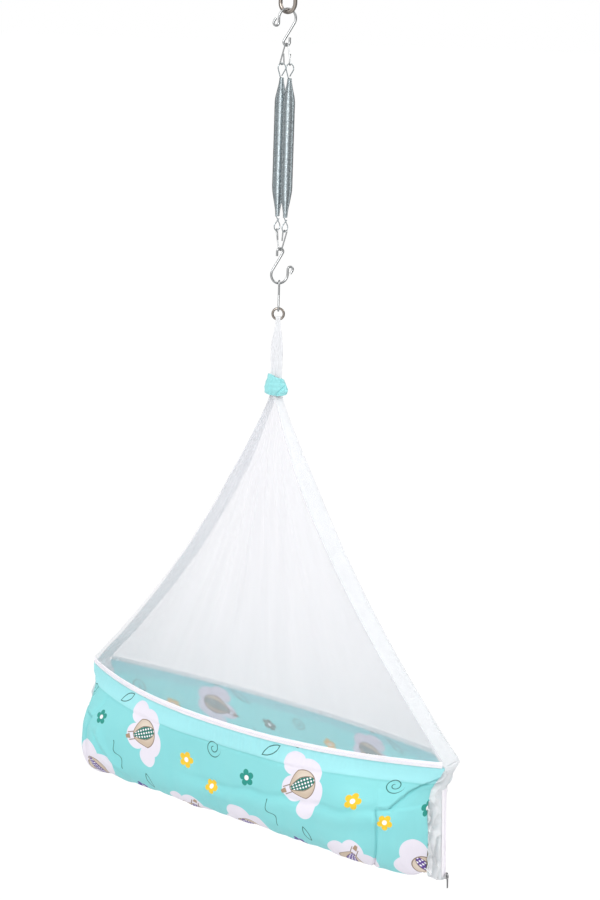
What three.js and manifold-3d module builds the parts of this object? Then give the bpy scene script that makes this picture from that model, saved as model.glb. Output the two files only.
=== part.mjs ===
// Hanging baby cradle: a cloth cradle with a net tent, carried by two springs. Millimetres, +Z up.
// The origin is the inside top of the ceiling link, where the ceiling's own hook holds the cradle up.
// X runs along the cradle, and -Y is its zipped front.
import * as THREE from "three";
import { mergeVertices } from "three/addons/utils/BufferGeometryUtils.js";
import Module from "manifold-3d";

const wasm = await Module();
wasm.setup();

const DEGREE = Math.PI / 180;

// Clearances that touching pieces share
const gap = 0.3;
const wireClearance = 0.3;
const overrun = 1;
const normalStepShare = 1e-3;

// Ceiling link
const linkWire = 7.5;
const linkWidth = 42;
const linkInnerLength = 50;

// S-hooks: a wide bow with a curled tip at one end, a narrow loop at the other
const hookWire = 4.4;
const bowRadius = 17;
const loopRadius = 6.2;
const hookBendSpan = 43.5;
const loopLeg = 8.5;
const curlStem = 8.8;
const curlRadius = 5.2;
const curlReturn = 6.5;
const curlEndAngle = -35;

// Yokes: one bent wire whose legs are folded back into hooks
const yokeWire = 2.6;
const yokeHeight = 39;
const yokeApexRadius = 6;
const turnRadius = 4.2;
const turnTwist = 20;
const foldLength = 16;
const foldSplay = 1.4;

// Springs
const springWire = 2.2;
const springDiameter = 24;
const springSpacing = 26.5;
const coilLength = 258;
const topTaper = 46;
const bottomTaper = 58;
const tipRadius = 3.4;
const eyeHeight = 27;
const eyeRadius = 8.2;
const eyeCrossing = 1.6;
const eyeTail = 4;
const coilTurns = 36;

// Small S-link and the ring of the cradle
const sLinkWire = 3.8;
const sLinkBend = 6.5;
const sLinkHeight = 57;
const sLinkUpperLeg = 17;
const sLinkLowerLeg = 20;
const ringWire = 4.6;
const ringDiameter = 26;

// Turns of the pieces about the vertical, in degrees from the length of the cradle
const hookYaw = 62;
const yokeYaw = -18;
const eyeYaw = 80;
const sLinkYaw = 128;
const ringYaw = 38;

// Strap, collar and neck
const strapThickness = 1.8;
const strapClearance = 0.7;
const strapTopWidth = 9;
const strapWidth = 22;
const strapSpread = 4;
const strapLength = 108;
const collarWidth = 47;
const collarDepth = 36;
const collarHeight = 41;
const collarWall = 5;
const collarRound = 4;
const strapFoldRows = 6;
const strapLegRows = 9;
const strapSpreadShare = 0.33;
const strapWidenShare = 0.4;

// Tent: bands and nets
const tentHeight = 640;
const bandThickness = 3;
const neckHalfLength = 8;
const neckHalfWidth = 11;
const bandWideShare = 0.3;
const tentRows = 10;
const bandSag = 0.1;
const netThickness = 1.2;
const netFold = 7;
const netFolds = 9;

// Cradle body
const rimLength = 890;
const endTuck = 22;
const endTuckHeight = 46;
const endFlare = 8;
const endWidth = 50;
const endBelly = 20;
const endPinch = 12;
const endTip = 26;
const wallHeight = 205;
const wallThickness = 4;
const frontRimDepth = 138;
const frontBodyDepth = 146;
const frontCornerRadius = 72;
const rearRimDepth = 62;
const rearBodyDepth = 148;
const rearCornerRadius = 60;
const rearRimDip = 6;
const rimPower = 2.2;
const frontBoxPower = 13;
const rearBodyPower = 5;
const rearBasePower = 9;
const wallShare = 0.5;
const shoulderShare = 0.5;
const tipShare = 0.4;

// Zips and bindings
const zipTapeHeight = 12;
const zipTapeThickness = 1.6;
const teethWidth = 3.4;
const teethHeight = 1.4;
const bindingHeight = 9;
const endCloth = 2;
const endClothBulge = 5;
const endTapeWidth = 18;
const endTapeThickness = 1;
const endZipMargin = 6;

// Zip sliders and their pulls
const sliderWidth = 8;
const sliderLength = 11;
const sliderThickness = 4;
const sliderPark = 9;
const sliderTaperShare = 0.7;
const bailWidth = 2.4;
const bailBar = 1.3;
const bailLength = 8;
const bailReach = 3.4;
const pullWidth = 5.5;
const pullLength = 22;
const pullThickness = 1;
const pullTaperShare = 0.8;
const pullCrossbar = 1.2;
const pullSlotLength = 2.9;

// Base, board and mattress
const baseThickness = 3;
const boardThickness = 3;
const boardInset = 6;
const baseCornerShare = 0.8;
const baseEndGap = 8;
const mattressThickness = 46;
const mattressEndGap = 12;
const mattressCrown = 8;
const mattressPowers = [9, 6];
const mattressFootInset = 114;
const mattressLevels = [
  { liftShare: 0, insetShare: 1 },
  { liftShare: 0.12, insetShare: 0.71 },
  { liftShare: 0.5, insetShare: 0.385 },
  { liftShare: 0.85, insetShare: 0.42 },
  { liftShare: 1, insetShare: 0.65 },
];
const crownLevels = [
  { spanShare: 0.82, riseShare: 0.7 },
  { spanShare: 0.4, riseShare: 1 },
];

// Heights down the chain, each bend resting in the one above it
const seat = (upper, lower) => (upper + lower) / 2 + wireClearance;
const linkBottomZ = -linkInnerLength - linkWire / 2;
const hookSpan = bowRadius + hookBendSpan + loopRadius;
const upperHookTopZ = linkBottomZ + seat(linkWire, hookWire);
const upperHookBottomZ = upperHookTopZ - hookSpan;
const upperApexZ = upperHookBottomZ + seat(hookWire, yokeWire);
const upperTurnZ = upperApexZ - yokeHeight;
const springTopZ = upperTurnZ + seat(yokeWire, springWire);
const springBottomZ = springTopZ - coilLength - 2 * eyeHeight;
const lowerTurnZ = springBottomZ + seat(yokeWire, springWire);
const lowerApexZ = lowerTurnZ - yokeHeight;
const lowerHookTopZ = lowerApexZ + seat(hookWire, yokeWire);
const lowerHookBottomZ = lowerHookTopZ - hookSpan;
const sLinkTopZ = lowerHookBottomZ + seat(hookWire, sLinkWire);
const sLinkBottomZ = sLinkTopZ - sLinkHeight;
const ringRadius = (ringDiameter - ringWire) / 2;
const ringTopZ = sLinkBottomZ + seat(sLinkWire, ringWire);
const ringBottomZ = ringTopZ - 2 * ringRadius;
const strapFoldZ = ringBottomZ + ringWire / 2 + strapClearance;
const collarTopZ = strapFoldZ - strapLength;
const collarBottomZ = collarTopZ - collarHeight;
const neckZ = collarBottomZ - gap;
const rimZ = neckZ - tentHeight;
const bottomZ = rimZ - wallHeight;

const halfLength = rimLength / 2;
const endHalf = endWidth / 2;
const netStandOff = gap + netThickness;

// Colours and finishes of the pieces
const finish = (color, roughness, metalness) =>
  new THREE.MeshStandardMaterial({ color, roughness, metalness });
const FINISH = {
  linkSteel: [0x8f8a84, 0.3, 1],
  wireSteel: [0xb4b8ba, 0.35, 1],
  springZinc: [0x8fa3a8, 0.35, 1],
  whiteCloth: [0xf4f5f7, 0.85, 0],
  net: [0xeef0f2, 0.9, 0],
  aquaCloth: [0x8fe6e0, 0.8, 0],
  collarCloth: [0x35c3c0, 0.75, 0],
  zipTape: [0xf0eef2, 0.8, 0],
  zipTeeth: [0xe4e2e8, 0.5, 0],
  board: [0xb99a6d, 0.8, 0],
  mattress: [0xf2f0ea, 0.9, 0],
};

const cradle = new THREE.Group();
const at = (x, y, z) => new THREE.Vector3(x, y, z);
const mix = (a, b, share) => a + (b - a) * share;
const smooth = (share) => share * share * (3 - 2 * share);
const inside = (share) => Math.min(1, Math.max(0, share));

// Adds one named piece to the cradle.
function piece(name, geometry, finishName, { yaw = 0, z = 0 } = {}) {
  const mesh = new THREE.Mesh(geometry, finish(...FINISH[finishName]));
  mesh.name = name;
  mesh.rotation.z = yaw * DEGREE;
  mesh.position.z = z;
  cradle.add(mesh);
  return mesh;
}

// A path through chosen points, stepped exactly at those points.
class WirePath extends THREE.Curve {
  constructor(points) {
    super();
    this.points = points;
  }
  getPointAt(share) {
    return this.points[Math.round(share * (this.points.length - 1))].clone();
  }
  getTangentAt(share, target = new THREE.Vector3()) {
    const last = this.points.length - 1;
    const i = Math.round(share * last);
    const before = this.points[Math.max(0, i - 1)];
    return target.copy(this.points[Math.min(last, i + 1)]).sub(before).normalize();
  }
  getSpacedPoints() {
    return this.points;
  }
}

// A round wire along the points.
function wire(points, diameter, sides) {
  const round = [];
  for (let i = 0; i < sides; i++) {
    const turn = (2 * Math.PI * i) / sides;
    round.push(new THREE.Vector2(Math.cos(turn), Math.sin(turn)).multiplyScalar(diameter / 2));
  }
  return new THREE.ExtrudeGeometry(new THREE.Shape(round), {
    steps: points.length - 1,
    extrudePath: new WirePath(points),
  });
}

// Points of an arc in the X-Z plane, from one angle to another in degrees.
function arc(x, z, radius, from, to, steps) {
  const points = [];
  for (let i = 0; i <= steps; i++) {
    const turn = mix(from, to, i / steps) * DEGREE;
    points.push(at(x + radius * Math.cos(turn), 0, z + radius * Math.sin(turn)));
  }
  return points;
}

// A closed solid from a grid of outer and inner points.
function shellOf(outer, inner, columns, rows) {
  const points = [...outer, ...inner];
  const faces = [];
  const half = outer.length;
  const index = (i, j) => j * (columns + 1) + i;
  const quad = (a, b, c, d) => faces.push(a, b, c, a, c, d);
  for (let j = 0; j < rows; j++)
    for (let i = 0; i < columns; i++) {
      const [a, b, c, d] = [index(i, j), index(i + 1, j), index(i + 1, j + 1), index(i, j + 1)];
      quad(a, b, c, d);
      quad(half + a, half + d, half + c, half + b);
    }
  const wallBetween = (a, b) => quad(b, a, half + a, half + b);
  for (let i = 0; i < columns; i++) {
    wallBetween(index(i, 0), index(i + 1, 0));
    wallBetween(index(i + 1, rows), index(i, rows));
  }
  for (let j = 0; j < rows; j++) {
    wallBetween(index(columns, j), index(columns, j + 1));
    wallBetween(index(0, j + 1), index(0, j));
  }
  return indexed(points, faces);
}

function indexed(points, faces) {
  const geometry = new THREE.BufferGeometry().setFromPoints(points);
  geometry.setIndex(faces);
  geometry.computeVertexNormals();
  return geometry;
}

// Even shares from one value to another, the first left out.
const shares = (from, to, count) =>
  Array.from({ length: count }, (_, i) => mix(from, to, (i + 1) / count));

// A sheet of cloth: place(u, v) gives its outer face, and the cloth lies on the inner side of it.
// The outer side is where the direction of u crossed with that of v points.
// Its rows are a count, or the list of their shares after the first row at 0.
function sheet(place, columns, rows, thickness) {
  const rowShares = [0, ...(Array.isArray(rows) ? rows : shares(0, 1, rows))];
  const outer = [];
  const inner = [];
  const step = normalStepShare;
  for (const v of rowShares)
    for (let i = 0; i <= columns; i++) {
      const u = i / columns;
      const alongU = place(inside(u + step), v).sub(place(inside(u - step), v));
      const alongV = place(u, inside(v + step)).sub(place(u, inside(v - step)));
      const outward = alongU.cross(alongV).normalize();
      const point = place(u, v);
      outer.push(point);
      inner.push(point.clone().addScaledVector(outward, -thickness));
    }
  return shellOf(outer, inner, columns, rowShares.length - 1);
}

// A solid through closed rings of points, anticlockwise seen from above, from the lowest ring up.
function loft(rings) {
  const count = rings[0].length;
  const points = rings.flat();
  const faces = [];
  for (let k = 0; k + 1 < rings.length; k++)
    for (let i = 0; i < count; i++) {
      const [a, b] = [k * count + i, k * count + ((i + 1) % count)];
      faces.push(a, b, b + count, a, b + count, a + count);
    }
  const centre = (ring) =>
    ring.reduce((sum, p) => sum.add(p), at(0, 0, 0)).divideScalar(ring.length);
  points.push(centre(rings[0]), centre(rings[rings.length - 1]));
  const [low, high] = [points.length - 2, points.length - 1];
  const top = (rings.length - 1) * count;
  for (let i = 0; i < count; i++) {
    const next = (i + 1) % count;
    faces.push(low, next, i, high, top + i, top + next);
  }
  return indexed(points, faces);
}

// Turns a mesh into a solid that can be joined or cut.
function solid(geometry) {
  const bare = geometry.clone();
  bare.deleteAttribute("normal");
  bare.deleteAttribute("uv");
  const merged = mergeVertices(bare.index ? bare.toNonIndexed() : bare, 1e-4);
  return new wasm.Manifold(
    new wasm.Mesh({
      numProp: 3,
      vertProperties: merged.attributes.position.array,
      triVerts: new Uint32Array(merged.index.array),
    }),
  );
}

function geometryOf(body) {
  const mesh = body.getMesh();
  const geometry = new THREE.BufferGeometry();
  geometry.setAttribute("position", new THREE.BufferAttribute(mesh.vertProperties, mesh.numProp));
  geometry.setIndex(new THREE.BufferAttribute(mesh.triVerts, 1));
  const faceted = geometry.toNonIndexed();
  faceted.computeVertexNormals();
  return faceted;
}

// Ceiling link: a ring pulled apart into an oval.
function ceilingLink() {
  const crown = (linkWidth - linkWire) / 2;
  const segments = 28;
  const link = new THREE.TorusGeometry(crown, linkWire / 2, 10, segments);
  link.rotateZ(Math.PI / segments).rotateX(Math.PI / 2);
  const pull = (linkInnerLength + linkWire) / 2 - crown;
  const places = link.attributes.position;
  for (let i = 0; i < places.count; i++)
    places.setZ(i, places.getZ(i) + Math.sign(places.getZ(i)) * pull);
  piece("ceiling_link", link, "linkSteel", { z: -linkInnerLength / 2 });
}

// Path of an S with its wide bend's centre at the origin and its narrow bend above it.
function sPath(bow, loop, span, leg) {
  const lean = Math.asin((bow + loop) / span) / DEGREE;
  return [
    at(-loop, 0, span - leg),
    ...arc(0, span, loop, 180, -lean, 10),
    ...arc(0, 0, bow, 180 - lean, 360, 14),
  ];
}

function hookPath() {
  const curl = arc(bowRadius + curlRadius, curlStem, curlRadius, 180, curlEndAngle, 9);
  const last = curl[curl.length - 1];
  const away = (curlEndAngle - 90) * DEGREE;
  const tip = last.clone().add(at(Math.cos(away), 0, Math.sin(away)).multiplyScalar(curlReturn));
  return [...sPath(bowRadius, loopRadius, hookBendSpan, loopLeg), ...curl, tip];
}

function sHooks() {
  const geometry = wire(hookPath(), hookWire, 8);
  const upper = geometry.clone().rotateY(Math.PI);
  piece("upper_s_hook", upper, "wireSteel", { yaw: hookYaw, z: upperHookTopZ - bowRadius });
  piece("lower_s_hook", geometry, "wireSteel", { yaw: hookYaw, z: lowerHookBottomZ + bowRadius });
}

// Half of a yoke with its apex at the origin and its turn below, from the apex to the folded end.
function yokeHalf(side) {
  const legLean = Math.atan2(springSpacing / 2 + turnRadius, yokeHeight) / DEGREE;
  const turnX = side * (springSpacing / 2);
  const twist = turnTwist * DEGREE;
  const turned = (p) => {
    const reach = p.x * side;
    return at(turnX + side * reach * Math.cos(twist), -reach * Math.sin(twist) * side, p.z);
  };
  const apex = arc(0, -yokeApexRadius, yokeApexRadius, 90, legLean, 3).map((p) =>
    at(side * p.x, 0, p.z),
  );
  const bend = arc(0, turnRadius - yokeHeight, turnRadius, 0, -180, 8);
  const end = at(-turnRadius, 0, turnRadius - yokeHeight + foldLength);
  const turn = [...bend, end].map((p) => turned(at(side * p.x, 0, p.z)));
  turn[turn.length - 1].y += side * foldSplay;
  return [...apex, ...turn];
}

function yokes() {
  const left = yokeHalf(-1).reverse();
  const path = [...left.slice(0, -1), ...yokeHalf(1)];
  const geometry = wire(path, yokeWire, 8);
  const lower = geometry.clone().rotateX(Math.PI);
  piece("upper_yoke", geometry, "wireSteel", { yaw: yokeYaw, z: upperApexZ });
  piece("lower_yoke", lower, "wireSteel", { yaw: yokeYaw, z: lowerApexZ });
}

// Radius of a spring's coil at a height above its lower tip.
function coilRadius(height) {
  const full = (springDiameter - springWire) / 2;
  const low = smooth(inside(height / bottomTaper));
  const high = smooth(inside((coilLength - height) / topTaper));
  return mix(tipRadius, full, Math.min(low, high));
}

// The teardrop eye over a tip, from the coil's end round to the crossed wire end.
function eyePath() {
  const centre = eyeHeight - eyeRadius;
  const open = Math.acos(eyeRadius / (centre - eyeCrossing)) / DEGREE;
  const loop = arc(0, centre, eyeRadius, 270 - open, open - 90, 12);
  loop.forEach((p, i) => (p.y = mix(eyeCrossing, -eyeCrossing, i / (loop.length - 1))));
  return [...loop, at(-eyeTail / 2, -eyeCrossing - springWire / 2, eyeTail)];
}

// The centre line of a spring, from its lower eye's wire end to its upper one's.
function springPath() {
  const coilSteps = 8;
  const startTurn = 90;
  const turn = (point, angle, flip) =>
    flip ? at(point.x, -point.y, -point.z).applyAxisAngle(at(0, 0, 1), angle) : point.clone();
  const sense = (startTurn + 360 * coilTurns) * DEGREE;
  const coil = [];
  const steps = coilTurns * coilSteps;
  for (let i = 0; i <= steps; i++) {
    const height = (coilLength * i) / steps;
    const angle = startTurn * DEGREE + (sense - startTurn * DEGREE) * (i / steps);
    const radius = coilRadius(height);
    coil.push(at(radius * Math.cos(angle), radius * Math.sin(angle), height));
  }
  const lower = eyePath().map((p) => turn(p, Math.PI, true)).reverse();
  const upper = eyePath().map((p) => p.add(at(0, 0, coilLength)));
  return [...lower, ...coil, ...upper];
}

// Prints the least gap of a wire to itself, measured between points that aren't neighbours on it.
function printLeastGap(label, points, diameter) {
  const along = [0];
  for (let i = 1; i < points.length; i++)
    along.push(along[i - 1] + points[i].distanceTo(points[i - 1]));
  let least = Infinity;
  for (let i = 0; i < points.length; i++)
    for (let j = i + 1; j < points.length; j++)
      if (along[j] - along[i] > 4 * diameter)
        least = Math.min(least, points[i].distanceTo(points[j]) - diameter);
  console.log(label + ": least gap to itself " + least.toFixed(2) + " mm");
}

function springs() {
  const path = springPath();
  printLeastGap("spring", path, springWire);
  for (const [name, side] of [["spring_left", -1], ["spring_right", 1]]) {
    const spring = piece(name, wire(path, springWire, 5), "springZinc", { yaw: eyeYaw });
    const aside = (side * springSpacing) / 2;
    const yaw = yokeYaw * DEGREE;
    spring.position.set(aside * Math.cos(yaw), aside * Math.sin(yaw), springBottomZ + eyeHeight);
  }
}

function smallSLink() {
  const span = sLinkHeight - 2 * sLinkBend;
  const path = sPath(sLinkBend, sLinkBend, span, sLinkUpperLeg);
  path.push(at(sLinkBend, 0, sLinkLowerLeg));
  piece("small_s_link", wire(path, sLinkWire, 8), "wireSteel", {
    yaw: sLinkYaw,
    z: sLinkBottomZ + sLinkBend,
  });
}

function strapRing() {
  const ring = new THREE.TorusGeometry(ringRadius, ringWire / 2, 8, 24).rotateX(Math.PI / 2);
  piece("strap_ring", ring, "linkSteel", { yaw: ringYaw, z: ringTopZ - ringRadius });
}

// A strap folded over the ring's wire, spreading towards the collar.
function strapLoop() {
  const bend = ringWire / 2 + strapClearance;
  const leg = ringBottomZ - collarBottomZ;
  const foldShare = strapFoldRows / (strapFoldRows + strapLegRows);
  const place = (u, v) => {
    const side = v < 0.5 ? 1 : -1;
    const down = Math.abs(2 * v - 1);
    const angle = inside(down / foldShare) * 90 * DEGREE;
    const run = inside((down - foldShare) / (1 - foldShare));
    const opened = smooth(inside(run / strapSpreadShare));
    const spread = mix(bend, strapSpread, opened) + strapThickness;
    const y = side * (run > 0 ? spread : (bend + strapThickness) * Math.sin(angle));
    const z = (bend + strapThickness) * (Math.cos(angle) - 1) - run * leg;
    const widened = smooth(inside(run / strapWidenShare));
    const x = (0.5 - u) * mix(strapTopWidth, strapWidth, widened);
    const reach = Math.min(Math.abs(x), strapTopWidth / 2);
    const alongRing = ringRadius - Math.sqrt(ringRadius ** 2 - reach ** 2);
    return at(x, y, z + alongRing * (1 - widened));
  };
  const rows = 2 * (strapFoldRows + strapLegRows);
  piece("strap_loop", sheet(place, 4, rows, strapThickness), "whiteCloth", {
    yaw: ringYaw,
    z: ringBottomZ + bend + strapThickness,
  });
}

// The wrapped collar: an oval sleeve with rounded edges round the strap.
function neckCollar() {
  const outer = collarWidth / 2;
  const half = collarHeight / 2;
  const profile = [
    [outer - collarWall, -half],
    [outer - collarRound, -half],
    [outer, collarRound - half],
    [outer, half - collarRound],
    [outer - collarRound, half],
    [outer - collarWall, half],
    [outer - collarWall, -half],
  ].map(([r, z]) => new THREE.Vector2(r, z));
  const collar = new THREE.LatheGeometry(profile, 28).rotateX(Math.PI / 2);
  collar.scale(1, collarDepth / collarWidth, 1);
  piece("neck_collar", collar, "collarCloth", { yaw: ringYaw, z: collarTopZ - half });
}

// Share of the way out from the neck, for a share of the way down: the tent hangs in a hollow line.
const outward = (down) => down - 4 * bandSag * down * (1 - down);
const bandReach = halfLength + gap;
const bandX = (down) => mix(neckHalfLength, bandReach, outward(down));
const bandHalfWidth = (down) => mix(neckHalfWidth, endHalf, smooth(inside(down / bandWideShare)));
const bandDrop = tentHeight - bandThickness - gap;

function bands() {
  for (const [name, side] of [["band_left", -1], ["band_right", 1]]) {
    const place = (u, v) =>
      at(side * bandX(v), side * (u * 2 - 1) * bandHalfWidth(v), neckZ - bandDrop * v);
    piece(name, sheet((u, v) => place(1 - u, v), 4, tentRows, bandThickness), "whiteCloth");
  }
}

// Half of the body's length at a height: tucked in under the rim, then flaring straight out.
function endReach(z) {
  const fall = rimZ - z;
  const below = Math.max(0, fall - endTuckHeight) / (wallHeight - endTuckHeight);
  return halfLength - endTuck * inside(fall / endTuckHeight) + endFlare * below;
}

// How far an end's cloth reaches to one side of its zip at a height: it swells towards the front
// and is pinched in at the rear.
function endHalfAt(side, z) {
  const swell = smooth(inside((rimZ - z) / (wallHeight * shoulderShare)));
  return endHalf + swell * (side < 0 ? endBelly : -endPinch);
}

// How square the body's plan is: a lens at the rim, and a rounded box below the front's shoulder.
function planPower(side, z, wall, round) {
  if (side > 0) return mix(mix(rimPower, rearBodyPower, wall), rearBasePower, round);
  const shoulder = smooth(inside((rimZ - z) / (wallHeight * shoulderShare)));
  return rimPower * (frontBoxPower / rimPower) ** shoulder;
}

// Depth of the body's outer face from the middle plane, at a place along it.
function bodyDepth(side, x, down) {
  const rim = side < 0 ? frontRimDepth : rearRimDepth;
  const body = side < 0 ? frontBodyDepth : rearBodyDepth;
  const corner = side < 0 ? frontCornerRadius : rearCornerRadius;
  const wall = inside(down / wallShare);
  const round = inside((down - wallShare) / (1 - wallShare));
  const belly = mix(rim, body, side < 0 ? smooth(wall) : wall);
  const depth = belly - corner * (1 - Math.cos(round * 90 * DEGREE));
  const z = bodyZ(side, down);
  const end = endHalfAt(side, z);
  const share = inside(Math.abs(x) / endReach(z));
  return end + (depth - end) * (1 - share ** planPower(side, z, wall, round));
}

// Height of the body's outer face at a share of the way down its section.
function bodyZ(side, down) {
  const corner = side < 0 ? frontCornerRadius : rearCornerRadius;
  const top = side < 0 ? rimZ : rimZ - rearRimDip;
  const round = inside((down - wallShare) / (1 - wallShare));
  return mix(top, bottomZ + corner, inside(down / wallShare)) - corner * Math.sin(round * 90 * DEGREE);
}

const bodyX = (side, share, down) => Math.sin((share - 0.5) * Math.PI) * endReach(bodyZ(side, down));

// Rows of a wall: one lies at the foot of the ends' tuck, and one where the wall starts to round.
function wallRows(side) {
  const dip = side < 0 ? 0 : rearRimDip;
  const corner = side < 0 ? frontCornerRadius : rearCornerRadius;
  const tuckShare = (wallShare * (endTuckHeight - dip)) / (wallHeight - dip - corner);
  const tuck = shares(0, tuckShare, 2);
  return [...tuck, ...shares(tuckShare, wallShare, 3), ...shares(wallShare, 1, 5)];
}

function walls() {
  for (const [name, side] of [["front_wall", -1], ["rear_wall", 1]]) {
    const place = (u, v) => {
      const x = -side * bodyX(side, u, v);
      return at(x, side * bodyDepth(side, x, v), bodyZ(side, v));
    };
    piece(name, sheet((u, v) => place(1 - u, v), 26, wallRows(side), wallThickness), "aquaCloth");
  }
}

// The two nets, folded softly, from the collar to the rims.
function nets() {
  for (const [name, side] of [["net_front", -1], ["net_rear", 1]]) {
    const top = neckZ;
    const strip = side < 0 ? rimZ + zipTapeHeight : rimZ - rearRimDip + bindingHeight;
    const foot = strip + gap + netThickness;
    const place = (u, v) => {
      const along = -side * Math.sin((u - 0.5) * Math.PI);
      const x = along * (bandX(v) - bandThickness);
      const rimDepth = bodyDepth(side, x / Math.max(outward(v), 1e-3), 0) - endHalf;
      const fold = netFold * Math.sin(netFolds * Math.PI * along) * (1 - along ** 2) * 4 * v * (1 - v);
      const depth = bandHalfWidth(v) + netStandOff + rimDepth * outward(v) + fold;
      return at(x, side * depth, mix(top, foot, v));
    };
    piece(name, sheet((u, v) => place(1 - u, v), 28, tentRows, netThickness), "net");
  }
}

// A strip that stands on a rim: its foot, its height and how far it stands out of the wall's face.
function rimStrip(side, foot, height, standOut, thickness) {
  const reach = halfLength - bandThickness - gap;
  const place = (u, v) => {
    const x = -side * Math.sin((u - 0.5) * Math.PI) * reach;
    return at(x, side * (bodyDepth(side, x, 0) + standOut), foot + height * (1 - v));
  };
  return sheet((u, v) => place(1 - u, v), 26, 1, thickness);
}

function rimStrips() {
  const tapeFoot = rimZ + gap;
  piece("front_zip_tape", rimStrip(-1, tapeFoot, zipTapeHeight, netStandOff, zipTapeThickness), "zipTape");
  const teethFoot = tapeFoot + (zipTapeHeight - teethWidth) / 2;
  const teethOut = netStandOff + gap + teethHeight;
  piece("front_zip_teeth", rimStrip(-1, teethFoot, teethWidth, teethOut, teethHeight), "zipTeeth");
  const bindingFoot = rimZ - rearRimDip + gap;
  piece("rear_binding", rimStrip(1, bindingFoot, bindingHeight, netStandOff, zipTapeThickness), "whiteCloth");
}

// How far an end's cloth droops below the base at a distance from its zip.
const tipDrop = (side, y) => endTip * (1 - (y / endHalfAt(Math.sign(y), bottomZ)) ** 2);

// Place on the outer face of an end's white cloth, at a distance from its zip and a height.
function endPlace(side, y, z, standOut) {
  const half = endHalfAt(Math.sign(y), z);
  const out = gap + endCloth + endClothBulge * (1 - inside(Math.abs(y) / half) ** 2) + standOut;
  return at(side * (endReach(z) + out), y, z);
}

const endZipTopZ = rimZ - endTuckHeight - endZipMargin;

function ends() {
  const tuckShare = endTuckHeight / wallHeight;
  const rows = [...shares(0, tuckShare, 2), ...shares(tuckShare, 1, 7)];
  for (const [side, word] of [[-1, "left"], [1, "right"]]) {
    const cloth = (u, v) => {
      const across = side * (2 * u - 1);
      const z = mix(rimZ, bottomZ, v);
      const droop = inside((v - 1 + tipShare) / tipShare) ** 2;
      const y = across * endHalfAt(across, z);
      return endPlace(side, y, z - droop * tipDrop(side, y), 0);
    };
    piece("end_cloth_" + word, sheet((u, v) => cloth(1 - u, v), 8, rows, endCloth), "whiteCloth");
    const strip = (width, standOut) => (u, v) => {
      const y = side * (0.5 - u) * width;
      return endPlace(side, y, mix(endZipTopZ, bottomZ - tipDrop(side, y) + endZipMargin, v), standOut);
    };
    const tape = strip(endTapeWidth, gap + endTapeThickness);
    piece("end_zip_tape_" + word, sheet(tape, 4, 8, endTapeThickness), "zipTape");
    const teeth = strip(teethWidth, 2 * gap + endTapeThickness + teethHeight);
    piece("end_zip_teeth_" + word, sheet(teeth, 1, 8, teethHeight), "zipTeeth");
  }
}

// Outline of the body seen from above at one height, drawn in from its outer face.
function bodyRing(inset, length, powers, depths, z, count = 40) {
  const ring = [];
  for (let i = 0; i < count; i++) {
    const turn = (2 * Math.PI * (i + 0.5)) / count;
    const side = Math.sign(Math.sin(turn));
    const k = side < 0 ? 0 : 1;
    const end = Math.max(gap, endHalfAt(side, z) - gap - inset / 2);
    const share = 1 - Math.abs(Math.cos(turn)) ** powers[k];
    const y = end + (depths[k] - inset / 2 - end) * share;
    ring.push(at((Math.cos(turn) * length) / 2, side * y, z));
  }
  return ring;
}

const baseDepths = [frontBodyDepth - frontCornerRadius, rearBodyDepth - rearCornerRadius];
const basePowers = [frontBoxPower, rearBasePower].map((power) => power * baseCornerShare);
const baseLength = 2 * endReach(bottomZ);

function baseCover() {
  const depths = baseDepths.map((depth) => depth - gap);
  const ring = (z) => bodyRing(0, baseLength - 2 * baseEndGap, basePowers, depths, z);
  piece("base_cover", loft([ring(bottomZ), ring(bottomZ + baseThickness)]), "aquaCloth");
}

function baseBoard() {
  const low = bottomZ + baseThickness + gap;
  const ring = (z) =>
    bodyRing(boardInset, baseLength - 2 * boardInset, basePowers, baseDepths, z, 32);
  piece("base_board", loft([ring(low), ring(low + boardThickness)]), "board");
}

// The mattress: drawn in below, full at the waist, with a crowned top.
function foamMattress() {
  const low = bottomZ + baseThickness + boardThickness + 2 * gap;
  const depths = [frontBodyDepth, rearBodyDepth].map((depth) => depth - wallThickness);
  const length = baseLength - 2 * mattressEndGap;
  const rings = mattressLevels.map(({ liftShare, insetShare }) => {
    const inset = mattressFootInset * insetShare;
    const z = low + mattressThickness * liftShare;
    return bodyRing(inset, length - inset, mattressPowers, depths, z, 36);
  });
  const top = rings[rings.length - 1];
  for (const { spanShare, riseShare } of crownLevels)
    rings.push(top.map((p) => at(p.x * spanShare, p.y * spanShare, p.z + mattressCrown * riseShare)));
  piece("foam_mattress", loft(rings), "mattress");
}

// The closed metal slider of a zip, narrowing downwards, with the bail that carries its pull.
function sliderGeometry() {
  const half = sliderWidth / 2;
  const length = sliderLength / 2;
  const foot = half * sliderTaperShare;
  const outline = new THREE.Shape();
  outline.moveTo(-half, length).lineTo(half, length).lineTo(foot, -length).lineTo(-foot, -length);
  const extrude = (shape, depth) => new THREE.ExtrudeGeometry(shape, { depth, bevelEnabled: false });
  const bridge = extrude(bailShape(), bailWidth);
  bridge.rotateY(-Math.PI / 2).translate(bailWidth / 2, 0, sliderThickness);
  return geometryOf(solid(extrude(outline, sliderThickness)).add(solid(bridge)));
}

// The two sliders, parked low on the ends, each with its pull hanging in its bail.
function sliders() {
  const face = 3 * gap + endTapeThickness + teethHeight;
  const barCentre = bailBar - bailLength / 2 + gap + pullCrossbar / 2;
  const hollow = (bailReach - bailBar) / 2;
  for (const [side, word] of [[-1, "left"], [1, "right"]]) {
    const foot = endPlace(side, 0, bottomZ - endTip + sliderPark, face);
    standOnEnd(piece("zip_slider_" + word, sliderGeometry(), "wireSteel"), foot, side);
    const pull = pullGeometry().translate(0, barCentre, sliderThickness + hollow - pullThickness / 2);
    standOnEnd(piece("pull_tab_" + word, pull, "wireSteel"), foot, side);
  }
}

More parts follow.
